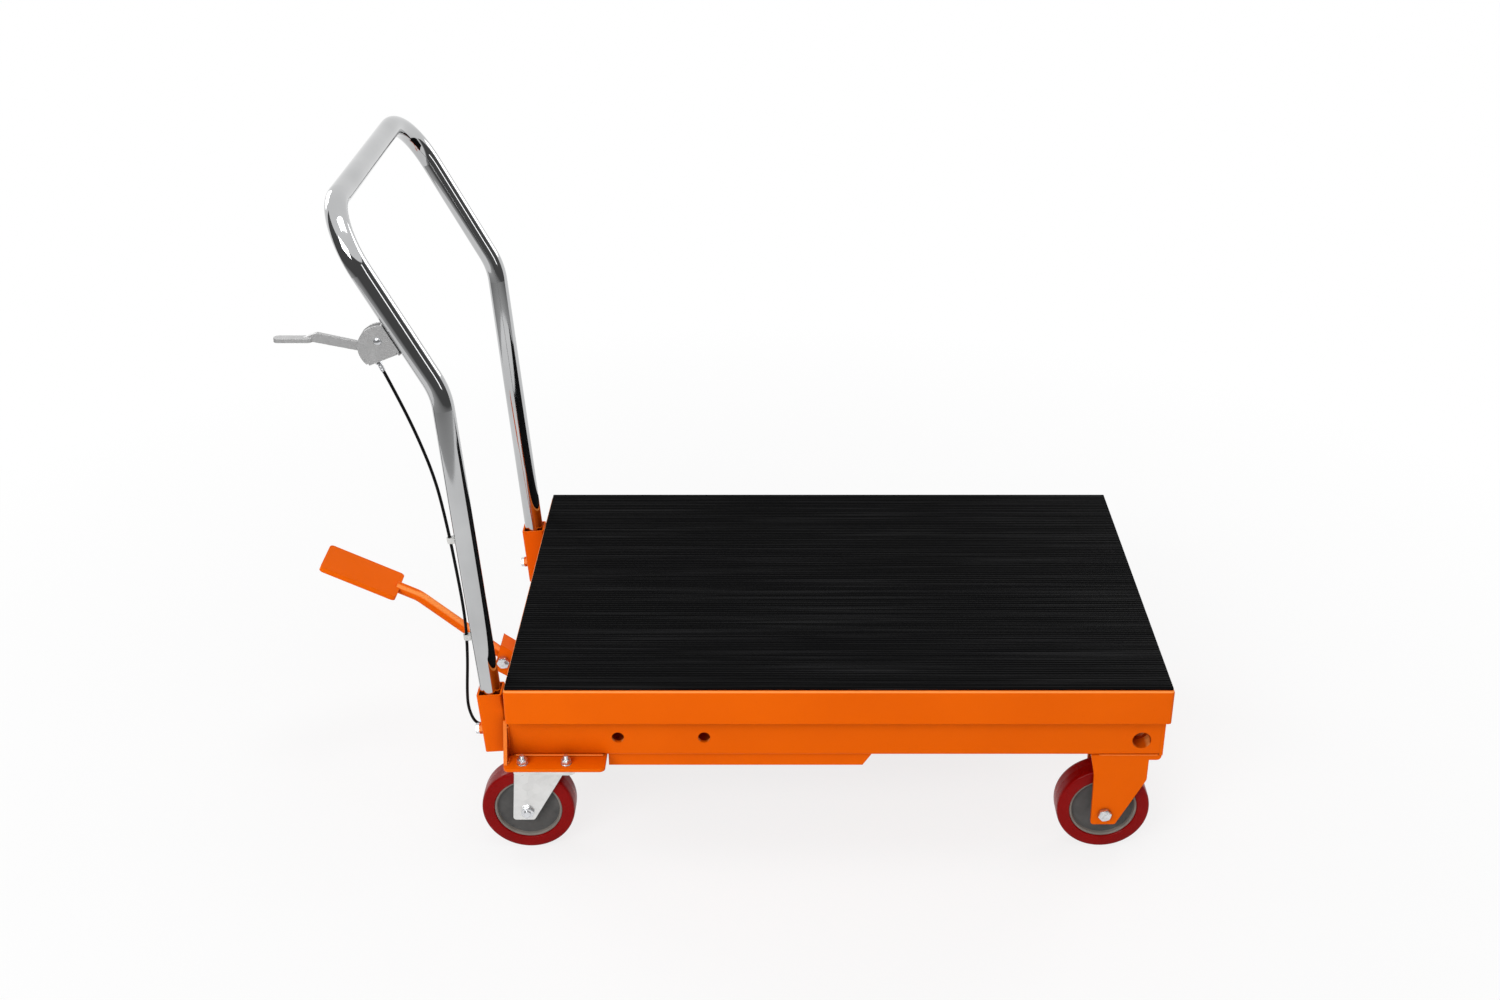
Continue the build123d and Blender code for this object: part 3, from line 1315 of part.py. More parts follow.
# Cable adjuster screwed to the lever bracket's tab, where the sheath ends
adjuster_plane = Plane(origin=cable_start, x_dir=(0, 1, 0), z_dir=tab_up)
with BuildPart() as cable_adjuster:
    with BuildSketch(adjuster_plane):
        Circle(adjuster_radius)
    extrude(amount=adjuster_length)
    with BuildSketch(adjuster_plane.offset(adjuster_length - adjuster_nut_height)):
        RegularPolygon(adjuster_nut_radius, 6)
    extrude(amount=adjuster_nut_height)
save(cable_adjuster, "cable_adjuster")

# Cable clips on the tube, each a loop round the sheath with a foot that fits the tube
with BuildPart() as cable_ties:
    for run in clip_runs:
        cable_middle = (cable_points[run + 2] + cable_points[run + 3]) / 2
        clip_height = (cable_middle - handle_foot).dot(lean_axis)
        cable_offset = (handle_foot - cable_middle).dot(lean_cross)
        clip_plane = Plane(origin=handle_foot + lean_axis * clip_height, x_dir=lean_cross, z_dir=lean_axis)
        with BuildSketch(clip_plane.offset(-clip_width / 2)):
            with Locations((-cable_offset, 0)):
                Circle(cable_radius + clip_cable_gap + clip_wall)
            with Locations((-handle_radius - seat_gap - clip_foot, 0)):
                Rectangle(handle_radius, clip_foot_width, align=(Align.MIN, Align.CENTER))
            make_hull()
            Circle(handle_radius + seat_gap, mode=Mode.SUBTRACT)
            with Locations((-cable_offset, 0)):
                Circle(cable_radius + clip_cable_gap, mode=Mode.SUBTRACT)
        extrude(amount=clip_width)
save(cable_ties, "cable_ties")

# Grommet in the rear crossmember
with BuildPart() as cable_grommet:
    hole_centre = (-cable_hole_side, rail_bottom + cable_hole_height)
    grommet_flange_radius = grommet_groove + grommet_lip
    for start, depth, radius in (
        (rear_face - grommet_flange, grommet_flange, grommet_flange_radius),
        (rear_face, end_plate, grommet_groove),
        (rear_face + end_plate, grommet_flange, grommet_flange_radius),
    ):
        with BuildSketch(Plane.YZ.offset(start)):
            with Locations(hole_centre):
                Circle(radius)
                Circle(grommet_bore, mode=Mode.SUBTRACT)
        extrude(amount=depth)
save(cable_grommet, "cable_grommet")

lowered_height = deck_top + mat_thickness
raised_height = lowered_height + arm_span * sin(radians(rest_angle + lift_angle)) - arm_rise
print("lowered and raised heights", lowered_height, round(raised_height, 1))
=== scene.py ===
"""Looks of the scissor lift table cart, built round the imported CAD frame."""

import math
import random

import bmesh
import bpy
from mathutils import Matrix, Vector


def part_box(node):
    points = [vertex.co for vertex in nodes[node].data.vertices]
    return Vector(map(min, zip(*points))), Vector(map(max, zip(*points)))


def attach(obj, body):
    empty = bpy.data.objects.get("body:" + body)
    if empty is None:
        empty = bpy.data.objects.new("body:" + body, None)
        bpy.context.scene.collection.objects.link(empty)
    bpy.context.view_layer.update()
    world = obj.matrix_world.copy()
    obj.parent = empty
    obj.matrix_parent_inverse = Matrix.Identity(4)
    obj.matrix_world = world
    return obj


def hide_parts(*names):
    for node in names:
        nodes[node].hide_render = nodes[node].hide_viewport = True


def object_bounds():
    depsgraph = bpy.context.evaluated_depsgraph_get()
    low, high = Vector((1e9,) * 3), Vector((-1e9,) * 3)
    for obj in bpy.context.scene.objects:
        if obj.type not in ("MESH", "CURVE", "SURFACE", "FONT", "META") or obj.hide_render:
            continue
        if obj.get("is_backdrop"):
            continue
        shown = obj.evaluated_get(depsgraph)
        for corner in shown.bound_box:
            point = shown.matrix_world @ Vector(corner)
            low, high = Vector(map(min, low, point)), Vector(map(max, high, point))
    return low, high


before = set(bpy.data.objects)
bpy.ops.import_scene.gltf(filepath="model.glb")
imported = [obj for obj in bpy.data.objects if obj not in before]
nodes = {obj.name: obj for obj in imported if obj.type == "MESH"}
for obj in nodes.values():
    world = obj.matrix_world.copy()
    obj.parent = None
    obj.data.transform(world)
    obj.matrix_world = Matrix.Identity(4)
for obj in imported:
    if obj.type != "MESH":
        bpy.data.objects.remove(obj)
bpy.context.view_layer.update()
scene = bpy.context.scene
scene.view_settings.view_transform = "Standard"

MM = 0.001
TAU = 2 * math.pi
UP = Vector((0, 0, 1))
ALONG = Vector((1, 0, 0))
ACROSS = Vector((0, 1, 0))

# Signs of Y on the cart's right and left, and the wheels' places
RIGHT_LEFT = (-1, 1)
WHEELS = ("rear_right", "rear_left", "front_right", "front_left")

# Camera, as solved from the photograph's frame
PHOTO_WIDTH = 1500.0
FOCAL_PIXELS = 1754.0
AXIS_PIXEL = 781.1
SENSOR_WIDTH = 36.0
CAMERA_PLACE = (0.056, -1.758, 1.225)
CAMERA_DOWN = math.radians(26.97)

camera_data = bpy.data.cameras.new("camera")
camera_data.sensor_width = SENSOR_WIDTH
camera_data.lens = SENSOR_WIDTH * FOCAL_PIXELS / PHOTO_WIDTH
camera_data.shift_x = (PHOTO_WIDTH / 2 - AXIS_PIXEL) / PHOTO_WIDTH
camera = bpy.data.objects.new("camera", camera_data)
camera.location = CAMERA_PLACE
camera.rotation_euler = (math.pi / 2 - CAMERA_DOWN, 0, 0)
scene.collection.objects.link(camera)
scene.camera = camera


# Materials
class Shader:
    """A material with one Principled shader and short ways to add nodes to it."""

    def __init__(self, name, **values):
        self.name = name
        self.material = bpy.data.materials.new(name)
        self.material.use_nodes = True
        self.tree = self.material.node_tree
        self.shader = self.tree.nodes["Principled BSDF"]
        for socket, value in values.items():
            self.shader.inputs[socket.replace("_", " ")].default_value = value
        coordinates = self.tree.nodes.new("ShaderNodeTexCoord").outputs
        self.place = coordinates["Object"]
        self.facing = coordinates["Normal"]

    def link(self, source, target):
        self.tree.links.new(source, target)

    def node(self, kind, settings=None, **inputs):
        made = self.tree.nodes.new(kind)
        for key, value in (settings or {}).items():
            setattr(made, key, value)
        for socket, value in inputs.items():
            target = made.inputs[socket.replace("_", " ")]
            if isinstance(value, bpy.types.NodeSocket):
                self.link(value, target)
            else:
                target.default_value = value
        return made

    def stretched(self, stretch):
        """The place coordinates, scaled along each axis."""
        return self.node("ShaderNodeMapping", Vector=self.place, Scale=stretch).outputs["Vector"]

    def noise(self, scale, detail, stretch=None):
        place = self.place if stretch is None else self.stretched(stretch)
        return self.node("ShaderNodeTexNoise", Vector=place, Scale=scale, Detail=detail).outputs["Fac"]

    def spread(self, value, low, high, from_low=0.3, from_high=0.7):
        """Maps a value's range, by default a noise's middle part, onto low to high."""
        made = self.node("ShaderNodeMapRange", Value=value)
        sockets = ("From Min", "From Max", "To Min", "To Max")
        for socket, number in zip(sockets, (from_low, from_high, low, high)):
            made.inputs[socket].default_value = number
        return made.outputs["Result"]

    def times(self, first, second):
        made = self.node("ShaderNodeMath", {"operation": "MULTIPLY"})
        self.link(first, made.inputs[0])
        self.link(second, made.inputs[1])
        return made.outputs[0]

    def blend(self, factor, first, second):
        made = self.node("ShaderNodeMix", {"data_type": "RGBA"})
        self.link(factor, made.inputs["Factor"])
        for socket, colour in ((made.inputs[6], first), (made.inputs[7], second)):
            if isinstance(colour, bpy.types.NodeSocket):
                self.link(colour, socket)
            else:
                socket.default_value = (*colour, 1.0)
        return made.outputs[2]

    def colour(self, source):
        self.link(source, self.shader.inputs["Base Color"])

    def rough(self, source):
        self.link(source, self.shader.inputs["Roughness"])

    def bump(self, height, strength, distance, edge=None):
        """Bump from a height, over edges rounded by edge where that is given."""
        made = self.node("ShaderNodeBump", Strength=strength, Distance=distance, Height=height)
        if edge is not None:
            soft = self.node("ShaderNodeBevel", {"samples": 4}, Radius=edge)
            self.link(soft.outputs["Normal"], made.inputs["Normal"])
        self.link(made.outputs["Normal"], self.shader.inputs["Normal"])

    def surface(self, source):
        """Shows another shader in place of the Principled one."""
        self.link(source, self.tree.nodes["Material Output"].inputs["Surface"])


def make_orange():
    """Gloss paint with faint specks, painted shade in its corners and a painted highlight on rounded top
    edges.
    """
    made = Shader("orange_paint", Coat_Weight=0.02, Coat_Roughness=0.08, Specular_IOR_Level=0.03)
    cloud = made.spread(made.noise(7.0, 3.0), 0.0, 1.0)
    tone = made.blend(cloud, (0.80, 0.115, 0.0003), (0.85, 0.128, 0.0005))
    speck = made.spread(made.noise(420.0, 2.0), 0.0, 0.35, 0.66, 0.8)
    paint = made.blend(speck, tone, (0.72, 0.085, 0.001))
    upward = made.node("ShaderNodeSeparateXYZ", Vector=made.facing).outputs["Z"]
    # Painted shade: ambient occlusion darkens upright faces in corners and under overhangs towards a deep
    # orange
    corner = made.node("ShaderNodeAmbientOcclusion", {"samples": 6}, Distance=40 * MM)
    closed_in = made.spread(corner.outputs["AO"], 0.85, 0.0, 0.35, 0.85)
    painted_shade = made.times(closed_in, made.spread(upward, 1.0, 0.0, 0.2, 0.6))
    paint = made.blend(painted_shade, paint, (0.30, 0.028, 0.0005))
    # Painted highlight: faces tilted up and outwards, such as rounded top edges, are lightened towards
    # pale orange
    tilted = made.spread(upward, 0.0, 0.75, 0.3, 0.5)
    painted_highlight = made.times(tilted, made.spread(upward, 1.0, 0.0, 0.72, 0.88))
    made.colour(made.blend(painted_highlight, paint, (0.98, 0.36, 0.09)))
    made.rough(made.spread(made.noise(36.0, 3.0), 0.32, 0.42))
    made.bump(made.noise(520.0, 1.0), 0.02, 0.4 * MM, edge=0.9 * MM)
    return made


def make_rubber():
    """Black rubber with fine streaks and a painted sheen of thin lighter lines along the cart."""
    made = Shader("black_rubber", Specular_IOR_Level=0.03)
    streak = made.noise(1.0, 3.0, (5.0, 330.0, 40.0))
    fine = made.spread(streak, 0.0, 1.0)
    tone = made.blend(fine, (0.0008, 0.0008, 0.0009), (0.0022, 0.0022, 0.0025))
    # Painted sheen: thin lighter streaks stand in for glossy reflections along the ribs
    sheen_streak = made.spread(made.noise(1.0, 2.0, (4.0, 520.0, 40.0)), 0.0, 1.0, 0.5, 0.75)
    made.colour(made.blend(sheen_streak, tone, (0.014, 0.014, 0.0145)))
    made.rough(made.spread(streak, 0.5, 0.72))
    made.bump(made.noise(1500.0, 2.0), 0.12, 0.2 * MM)
    return made


def make_chrome():
    """Chrome with a faint cloud and a slight draw along the tube."""
    made = Shader("chrome_tube", Metallic=1.0)
    cloud = made.spread(made.noise(16.0, 3.0), 0.0, 1.0)
    made.colour(made.blend(cloud, (0.46, 0.465, 0.47), (0.53, 0.535, 0.54)))
    made.rough(made.spread(made.noise(60.0, 4.0, (1.0, 1.0, 0.25)), 0.03, 0.08))
    made.bump(made.noise(240.0, 2.0, (1.0, 1.0, 0.1)), 0.015, 0.3 * MM)
    return made


def make_zinc(name, light, dark, rough, grain, metal=0.9):
    """Zinc plate with the cells of its crystals."""
    made = Shader(name, Metallic=metal)
    cells = made.node("ShaderNodeTexVoronoi", Vector=made.place, Scale=grain).outputs["Color"]
    cell = made.node("ShaderNodeSeparateColor", Color=cells).outputs["Red"]
    cloud = made.noise(55.0, 4.0)
    made.colour(made.blend(made.times(cell, made.spread(cloud, 0.2, 1.0)), light, dark))
    made.rough(made.spread(cloud, *rough))
    made.bump(made.noise(700.0, 2.0), 0.04, 0.3 * MM, edge=0.5 * MM)
    return made


def make_steel():
    """Turned steel with fine lines."""
    made = Shader("bright_steel", Metallic=1.0)
    lines = made.noise(1.0, 2.0, (900.0, 60.0, 900.0))
    made.colour(made.blend(made.spread(lines, 0.0, 1.0), (0.50, 0.50, 0.51), (0.62, 0.62, 0.63)))
    made.rough(made.spread(made.noise(80.0, 3.0), 0.22, 0.36))
    made.bump(lines, 0.05, 0.3 * MM)
    return made


def make_pump():
    """Black paint on a cast surface."""
    made = Shader("pump_paint", Specular_IOR_Level=0.5)
    cloud = made.noise(30.0, 4.0)
    tone = made.spread(cloud, 0.0, 1.0)
    made.colour(made.blend(tone, (0.012, 0.012, 0.013), (0.024, 0.024, 0.026)))
    made.rough(made.spread(cloud, 0.35, 0.5))
    made.bump(made.noise(380.0, 3.0), 0.18, 0.5 * MM)
    return made


def make_tread():
    """Red polyurethane with scuffs."""
    made = Shader("red_tread", Coat_Weight=0.03, Coat_Roughness=0.15, Specular_IOR_Level=0.08)
    cloud = made.spread(made.noise(24.0, 3.0), 0.0, 1.0)
    tone = made.blend(cloud, (0.20, 0.0012, 0.0012), (0.27, 0.002, 0.002))
    scuff = made.spread(made.noise(150.0, 4.0, (1.0, 0.3, 1.0)), 0.0, 0.25, 0.62, 0.8)
    made.colour(made.blend(scuff, tone, (0.20, 0.005, 0.004)))
    made.rough(made.spread(made.noise(90.0, 3.0), 0.24, 0.38))
    made.bump(made.noise(600.0, 2.0), 0.04, 0.3 * MM)
    return made


PLASTIC_CLOUD = 12.0


def make_plastic(name, light, dark, rough, grain, strength, gloss=0.2):
    """Moulded plastic with a cloudy tone, that many times coarser than its grain."""
    made = Shader(name, Specular_IOR_Level=gloss)
    cloud = made.noise(grain / PLASTIC_CLOUD, 3.0)
    made.colour(made.blend(made.spread(cloud, 0.0, 1.0), dark, light))
    made.rough(made.spread(cloud, *rough))
    made.bump(made.noise(grain, 2.0), strength, 0.3 * MM)
    return made


finishes = (
    make_orange(),
    make_rubber(),
    make_chrome(),
    make_zinc("zinc_sheet", (0.80, 0.80, 0.79), (0.70, 0.70, 0.69), (0.34, 0.5), 160.0),
    make_zinc("lever_sheet", (0.50, 0.50, 0.50), (0.43, 0.43, 0.43), (0.34, 0.46), 240.0, metal=0.5),
    make_zinc("zinc_fasteners", (0.72, 0.735, 0.76), (0.52, 0.525, 0.53), (0.16, 0.3), 420.0),
    make_steel(),
    make_pump(),
    make_tread(),
    make_plastic("hub_plastic", (0.10, 0.098, 0.095), (0.068, 0.067, 0.066), (0.42, 0.6), 900.0, 0.12),
    make_plastic("hub_ring", (0.25, 0.225, 0.2), (0.19, 0.17, 0.15), (0.4, 0.55), 900.0, 0.1),
    make_plastic(
        "cable_black", (0.006, 0.006, 0.0065), (0.003, 0.003, 0.003), (0.3, 0.42), 1100.0, 0.06, gloss=0.06
    ),
    make_plastic("tie_plastic", (0.62, 0.62, 0.60), (0.5, 0.5, 0.49), (0.35, 0.5), 1000.0, 0.05),
)
materials = {finish.name: finish.material for finish in finishes}

# Slots of the CAD nodes, orange paint where a node isn't listed
LEVER_NODES = ["lever_bracket", "release_lever"]
node_slots = {
    "black_rubber": ["rubber_mat", "rest_pads", "cable_grommet"],
    "chrome_tube": ["push_handle"],
    "zinc_sheet": ["right_caster_fork", "left_caster_fork", "caster_plates", *LEVER_NODES],
    "zinc_fasteners": [
        "caster_bolts",
        "front_axles",
        "right_caster_axle",
        "left_caster_axle",
        "handle_clamp_bolts",
        "pedal_bolt",
        "lever_pivot",
        "cable_adjuster",
        "valve_lever",
    ],
    "bright_steel": [
        "base_pivot_pins",
        "outer_arm_pins",
        "lower_roller_pins",
        "lower_right_roller",
        "lower_left_roller",
        "upper_right_roller",
        "upper_left_roller",
        "ram_rod",
        "ram_pin",
        "pedal_pivot_pin",
        "pump_plunger",
    ],
    "pump_paint": ["pump_body", "ram_cylinder"],
    "hub_plastic": [f"{place}_hub" for place in WHEELS],
    "red_tread": [f"{place}_tread" for place in WHEELS],
    "cable_black": ["cable_sheath"],
    "tie_plastic": ["cable_ties"],
}
slot_of = {node: slot for slot, members in node_slots.items() for node in members}
for node, part in nodes.items():
    slot = slot_of.get(node, "orange_paint")
    finish = "lever_sheet" if node in LEVER_NODES else slot
    part.data.materials.clear()
    part.data.materials.append(materials[finish])


# Floor, backdrop and lamps: a white sweep in soft light
FLOOR_HALF = 6.0
FLOOR_DROP = 0.2 * MM
FLOOR_GREY = (0.8, 0.8, 0.8, 1.0)
SWEEP_NEAR = 0.5
SWEEP_FAR = 1.4
SWEEP_LEAST = 0.8
WORLD_LEVEL = 0.38
WHITE = (1.0, 1.0, 1.0, 1.0)


def sheet(name, points, faces, shader):
    """A flat stage piece, which isn't part of the object."""
    mesh = bpy.data.meshes.new(name)
    mesh.from_pydata(points, [], faces)
    mesh.materials.append(shader.material)
    made = bpy.data.objects.new(name, mesh)
    scene.collection.objects.link(made)
    made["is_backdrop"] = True
    return made


def background_seen(tree):
    """One where a ray comes from the camera, a mirror or glass, and nought elsewhere."""
    path = tree.nodes.new("ShaderNodeLightPath").outputs
    total = path["Is Camera Ray"]
    for kind in ("Is Glossy Ray", "Is Transmission Ray"):
        larger = tree.nodes.new("ShaderNodeMath")
        larger.operation = "MAXIMUM"
        tree.links.new(total, larger.inputs[0])
        tree.links.new(path[kind], larger.inputs[1])
        total = larger.outputs[0]
    return total


def mixed(tree, factor, first, second):
    made = tree.nodes.new("ShaderNodeMixShader")
    for socket, source in zip(made.inputs, (factor, first, second)):
        tree.links.new(source, socket)
    return made.outputs[0]


def from_origin(shader):
    """How far a point is from the frame's origin."""
    made = shader.node("ShaderNodeVectorMath", {"operation": "LENGTH"}, Vector=shader.place)
    return made.outputs["Value"]


def glow(shader, strength):
    return shader.node("ShaderNodeEmission", Color=WHITE, Strength=strength).outputs[0]


def make_floor():
    """A pale floor that catches shadows near the object and turns plain white away from it."""
    made = Shader("floor", Base_Color=FLOOR_GREY, Roughness=0.9, Specular_IOR_Level=0.1)
    away = made.spread(from_origin(made), SWEEP_LEAST, 1.0, SWEEP_NEAR, SWEEP_FAR)
    share = made.times(background_seen(made.tree), away)
    made.surface(mixed(made.tree, share, made.shader.outputs[0], glow(made, 1.0)))
    corners = ((-1, -1), (1, -1), (1, 1), (-1, 1))
    points = [(x * FLOOR_HALF, y * FLOOR_HALF, -FLOOR_DROP) for x, y in corners]
    sheet("floor", points, [(0, 1, 2, 3)], made)


def make_world():
    """A backdrop that looks white and gives less light than it shows."""
    scene.world = bpy.data.worlds.new("studio")
    scene.world.use_nodes = True
    sky = scene.world.node_tree
    dim = sky.nodes["Background"]
    bright = sky.nodes.new("ShaderNodeBackground")
    for background, level in ((dim, WORLD_LEVEL), (bright, 1.0)):
        background.inputs["Color"].default_value = WHITE
        background.inputs["Strength"].default_value = level
    backdrop = mixed(sky, background_seen(sky), dim.outputs[0], bright.outputs[0])
    sky.links.new(backdrop, sky.nodes["World Output"].inputs["Surface"])


# Rings of the painted reflection sheet as (radius, height), with the angles that it spans
REFLECTOR_LIFT = 1 * MM
REFLECTOR_WALL = 2.3
REFLECTOR_RINGS = ((1.2, REFLECTOR_LIFT), (1.5, REFLECTOR_LIFT), (2.0, REFLECTOR_LIFT), (3.2, REFLECTOR_LIFT), (3.2, REFLECTOR_WALL))
REFLECTOR_FIRST = math.radians(165)
REFLECTOR_STEP = math.radians(10)
REFLECTOR_STEPS = 22
REFLECTOR_NEAR = 1.2
REFLECTOR_FAR = 1.8
REFLECTOR_NEAR_GLOW = 0.5
REFLECTOR_FAR_GLOW = 0.1


def make_reflection_sheet():
    """A dimly glowing sheet on the camera's side of the sweep that only mirrors show: painted reflections,
    with no room there.
    """
    points = []
    for radius, height in REFLECTOR_RINGS:
        for step in range(REFLECTOR_STEPS):
            angle = REFLECTOR_FIRST + REFLECTOR_STEP * step
            points.append((radius * math.cos(angle), radius * math.sin(angle), height))
    faces = []
    for ring in range(len(REFLECTOR_RINGS) - 1):
        for step in range(REFLECTOR_STEPS - 1):
            corner = ring * REFLECTOR_STEPS + step
            faces.append((corner, corner + 1, corner + 1 + REFLECTOR_STEPS, corner + REFLECTOR_STEPS))
    made = Shader("painted_reflection_sheet")
    # Painted reflection: the sheet's glow falls from the near level to the far level with distance from
    # the origin
    level = made.spread(from_origin(made), REFLECTOR_NEAR_GLOW, REFLECTOR_FAR_GLOW, REFLECTOR_NEAR, REFLECTOR_FAR)
    made.surface(glow(made, level))
    reflection_sheet = sheet("painted_reflection_sheet", points, faces, made)
    reflection_sheet.visible_camera = False
    reflection_sheet.visible_diffuse = False
    reflection_sheet.visible_transmission = False
    reflection_sheet.visible_shadow = False


def softbox(name, place, target, size, power):
    data = bpy.data.lights.new(name, "AREA")
    data.shape = "RECTANGLE"
    data.size, data.size_y = size
    data.energy = power
    lamp = bpy.data.objects.new(name, data)
    lamp.location = place
    lamp.rotation_mode = "QUATERNION"
    lamp.rotation_quaternion = (Vector(target) - Vector(place)).to_track_quat("-Z", "Y")
    scene.collection.objects.link(lamp)


make_floor()
make_world()
make_reflection_sheet()
softbox("top_light", (0.2, -0.3, 2.6), target=(0.0, 0.0, 0.2), size=(1.7, 0.7), power=17.0)
softbox("front_light", (-1.2, -2.4, 1.9), target=(0.0, 0.0, 0.2), size=(1.8, 1.0), power=49.0)
softbox("side_light", (1.9, -1.45, 1.1), target=(0.0, 0.0, 0.4), size=(0.35, 1.2), power=3.2)
for side in (-1, 1):
    place = (2.3 * side, 1.9, 1.5)
    softbox(f"back_light_{side}", place, target=(0.0, 0.0, 0.25), size=(1.2, 1.2), power=24.0)


# Meshes
ROUND = 48
HOOP_STEPS = 40
SMOOTH_ANGLE = 38.0
SAME_PLACE = 1e-6


class Shape:
    """Points and faces gathered for one piece, in the frame's metres."""

    def __init__(self):
        self.points = []
        self.faces = []

    def add(self, part, matrix=Matrix.Identity(4)):
        points, faces = part
        start = len(self.points)
        self.points += [matrix @ Vector(point) for point in points]
        self.faces += [tuple(start + index for index in face) for face in faces]
        return self

    def piece(self, name, body, slot, finish=None, stands_for=(), sharp=SMOOTH_ANGLE):
        """Makes the piece, with its normals outwards, and sets it on its body."""
        mesh = bpy.data.meshes.new(name)
        mesh.from_pydata(self.points, [], self.faces)
        shell = bmesh.new()
        shell.from_mesh(mesh)
        bmesh.ops.recalc_face_normals(shell, faces=shell.faces)
        shell.to_mesh(mesh)
        shell.free()
        for face in mesh.polygons:
            face.use_smooth = True
        mesh.set_sharp_from_angle(angle=math.radians(sharp))
        mesh.materials.append(materials[finish or slot])
        made = bpy.data.objects.new(name, mesh)
        scene.collection.objects.link(made)
        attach(made, body)
        if stands_for:
            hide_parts(*stands_for)


def mm(*values):
    return Vector(values) * MM


# Digits of a millimetre that a place read from the frame is rounded to
TENTHS = 1
HUNDREDTHS = 2


def snapped(point, digits=TENTHS):
    """A point without the rounding of the frame's meshes, which would reach the ripples of a bead."""
    return mm(*(round(value / MM, digits) for value in point))


def placed(origin, axis, turn=0.0):
    """Matrix that sets a part made on Z at origin, with its Z along axis."""
    spin = Matrix.Rotation(turn, 4, "Z")
    return Matrix.Translation(origin) @ Vector(axis).to_track_quat("Z", "X").to_matrix().to_4x4() @ spin


def around(radius, angle, height):
    """A point on a circle about Z."""
    return radius * math.cos(angle), radius * math.sin(angle), height


def hoop(centre, axis, radius):
    """Points of a circle round an axis, the first one again at the end."""
    turn = placed(centre, axis)
    return [turn @ Vector(around(radius, TAU * step / HOOP_STEPS, 0)) for step in range(HOOP_STEPS + 1)]


def hex_grow(angle):
    """How much further out a hexagon's edge is than its flat, at an angle."""
    return 1 / math.cos(angle % (TAU / 6) - TAU / 12)


def lathe(profile, sides=ROUND, ring=False):
    """A profile of (radius, height) turned about Z. A third value makes that step a hexagon."""
    points, faces, rows = [], [], []
    for radius, height, *hexed in profile:
        if radius == 0:
            rows.append([len(points)])
            points.append((0.0, 0.0, height))
            continue
        rows.append(list(range(len(points), len(points) + sides)))
        for side in range(sides):
            angle = TAU * side / sides
            reach = radius * hex_grow(angle) if hexed else radius
            points.append(around(reach, angle, height))
    pairs = list(zip(rows, rows[1:]))
    if ring:
        pairs.append((rows[-1], rows[0]))
    for first, second in pairs:
        for side in range(sides):
            after = (side + 1) % sides
            corners = [first[side % len(first)], first[after % len(first)]]
            corners += [second[after % len(second)], second[side % len(second)]]
            faces.append(tuple(dict.fromkeys(corners)))
    return points, faces


def rod(radius, length, sides=ROUND):
    return lathe([(0, 0), (radius, 0), (radius, length), (0, length)], sides)


def mirrored(profile, middle=()):
    """A profile, its middle points and its mirror image below the middle."""
    return [*profile, *middle, *((reach, -along) for reach, along in reversed(profile))]


def rounded(profile, radius, steps=3):
    """An open profile with its inner corners cut to arcs of about that radius."""
    path = [Vector(point) for point in profile]
    made = [tuple(path[0])]
    for before, corner, after in zip(path, path[1:], path[2:]):
        start = corner + (before - corner).normalized() * min(radius, (before - corner).length / 2)
        end = corner + (after - corner).normalized() * min(radius, (after - corner).length / 2)
        for step in range(steps + 1):
            share = step / steps
            bend = start.lerp(corner, share).lerp(corner.lerp(end, share), share)
            made.append(tuple(bend))
    made.append(tuple(path[-1]))
    return made


def stacked(levels, sides):
    """A closed part from rings of points, with its first and last points on the axis."""
    points = [levels[0], *(point for ring in levels[1:-1] for point in ring), levels[-1]]
    last = len(points) - 1
    faces = []
    for side in range(sides):
        after = (side + 1) % sides
        faces.append((0, 1 + after, 1 + side))
        faces.append((last, last - sides + side, last - sides + after))
        for start in range(1, last - sides, sides):
            faces.append((start + side, start + after, start + sides + after, start + sides + side))
    return points, faces


NUT_CHAMFER = math.tan(math.radians(30))
NUT_ROUND = 0.95


def hexagon(across, height, low=True, high=True):
    """A hexagon block with its corners turned off at the ends that are asked for."""
    flat = across / 2
    rim = NUT_ROUND * flat
    rings = [[], [], [], []]
    for side in range(ROUND):
        angle = TAU * side / ROUND
        corner = flat * hex_grow(angle)
        drop = (corner - rim) * NUT_CHAMFER
        rings[0].append(around(rim, angle, 0.0))
        rings[1].append(around(corner, angle, drop if low else 0.0))
        rings[2].append(around(corner, angle, height - drop if high else height))
        rings[3].append(around(rim, angle, height))
    return stacked([(0.0, 0.0, 0.0), *rings, (0.0, 0.0, height)], ROUND)


THREAD_SIDES = 28
THREAD_STEPS = 6
THREAD_DEPTH = 0.55


def thread(radius, length, pitch):
    """A screw thread on Z, closed at both ends, with its tip turned down."""
    depth = THREAD_DEPTH * pitch
    steps = max(THREAD_STEPS, round(THREAD_STEPS * length / pitch))
    rings = []
    for step in range(steps + 1):
        height = length * step / steps
        tip = radius - depth + (length - height)
        ring = []
        for side in range(THREAD_SIDES):
            phase = (height / pitch - side / THREAD_SIDES) % 1
            reach = radius - depth * abs(2 * phase - 1)
            ring.append(around(min(reach, tip), TAU * side / THREAD_SIDES, height))
        rings.append(ring)
    return stacked([(0.0, 0.0, 0.0), *rings, (0.0, 0.0, length)], THREAD_SIDES)


WASHER_EDGE = 0.25


def washer(bore, outside, height):
    edge = WASHER_EDGE * height
    profile = [(bore, 0), (outside - edge, 0), (outside, edge)]
    profile += [(outside, height - edge), (outside - edge, height), (bore, height)]
    return lathe(profile, ring=True)


# Lock nut's collar: a share of the nut's height, then shares of its flat
COLLAR_HEIGHT = 0.16
COLLAR_RADIUS = 0.86
COLLAR_TOP = 0.74


def lock_nut(across, height):
    """A nut with a round collar on top, on Z."""
    flat = across / 2
    collar = COLLAR_HEIGHT * height
    radius = COLLAR_RADIUS * flat
    ring = [(0, 0), (radius, 0), (radius, collar / 2), (COLLAR_TOP * flat, collar), (0, collar)]
    made = Shape().add(hexagon(across, height - collar))
    made.add(lathe(ring), Matrix.Translation((0, 0, height - collar)))
    return made.points, made.faces


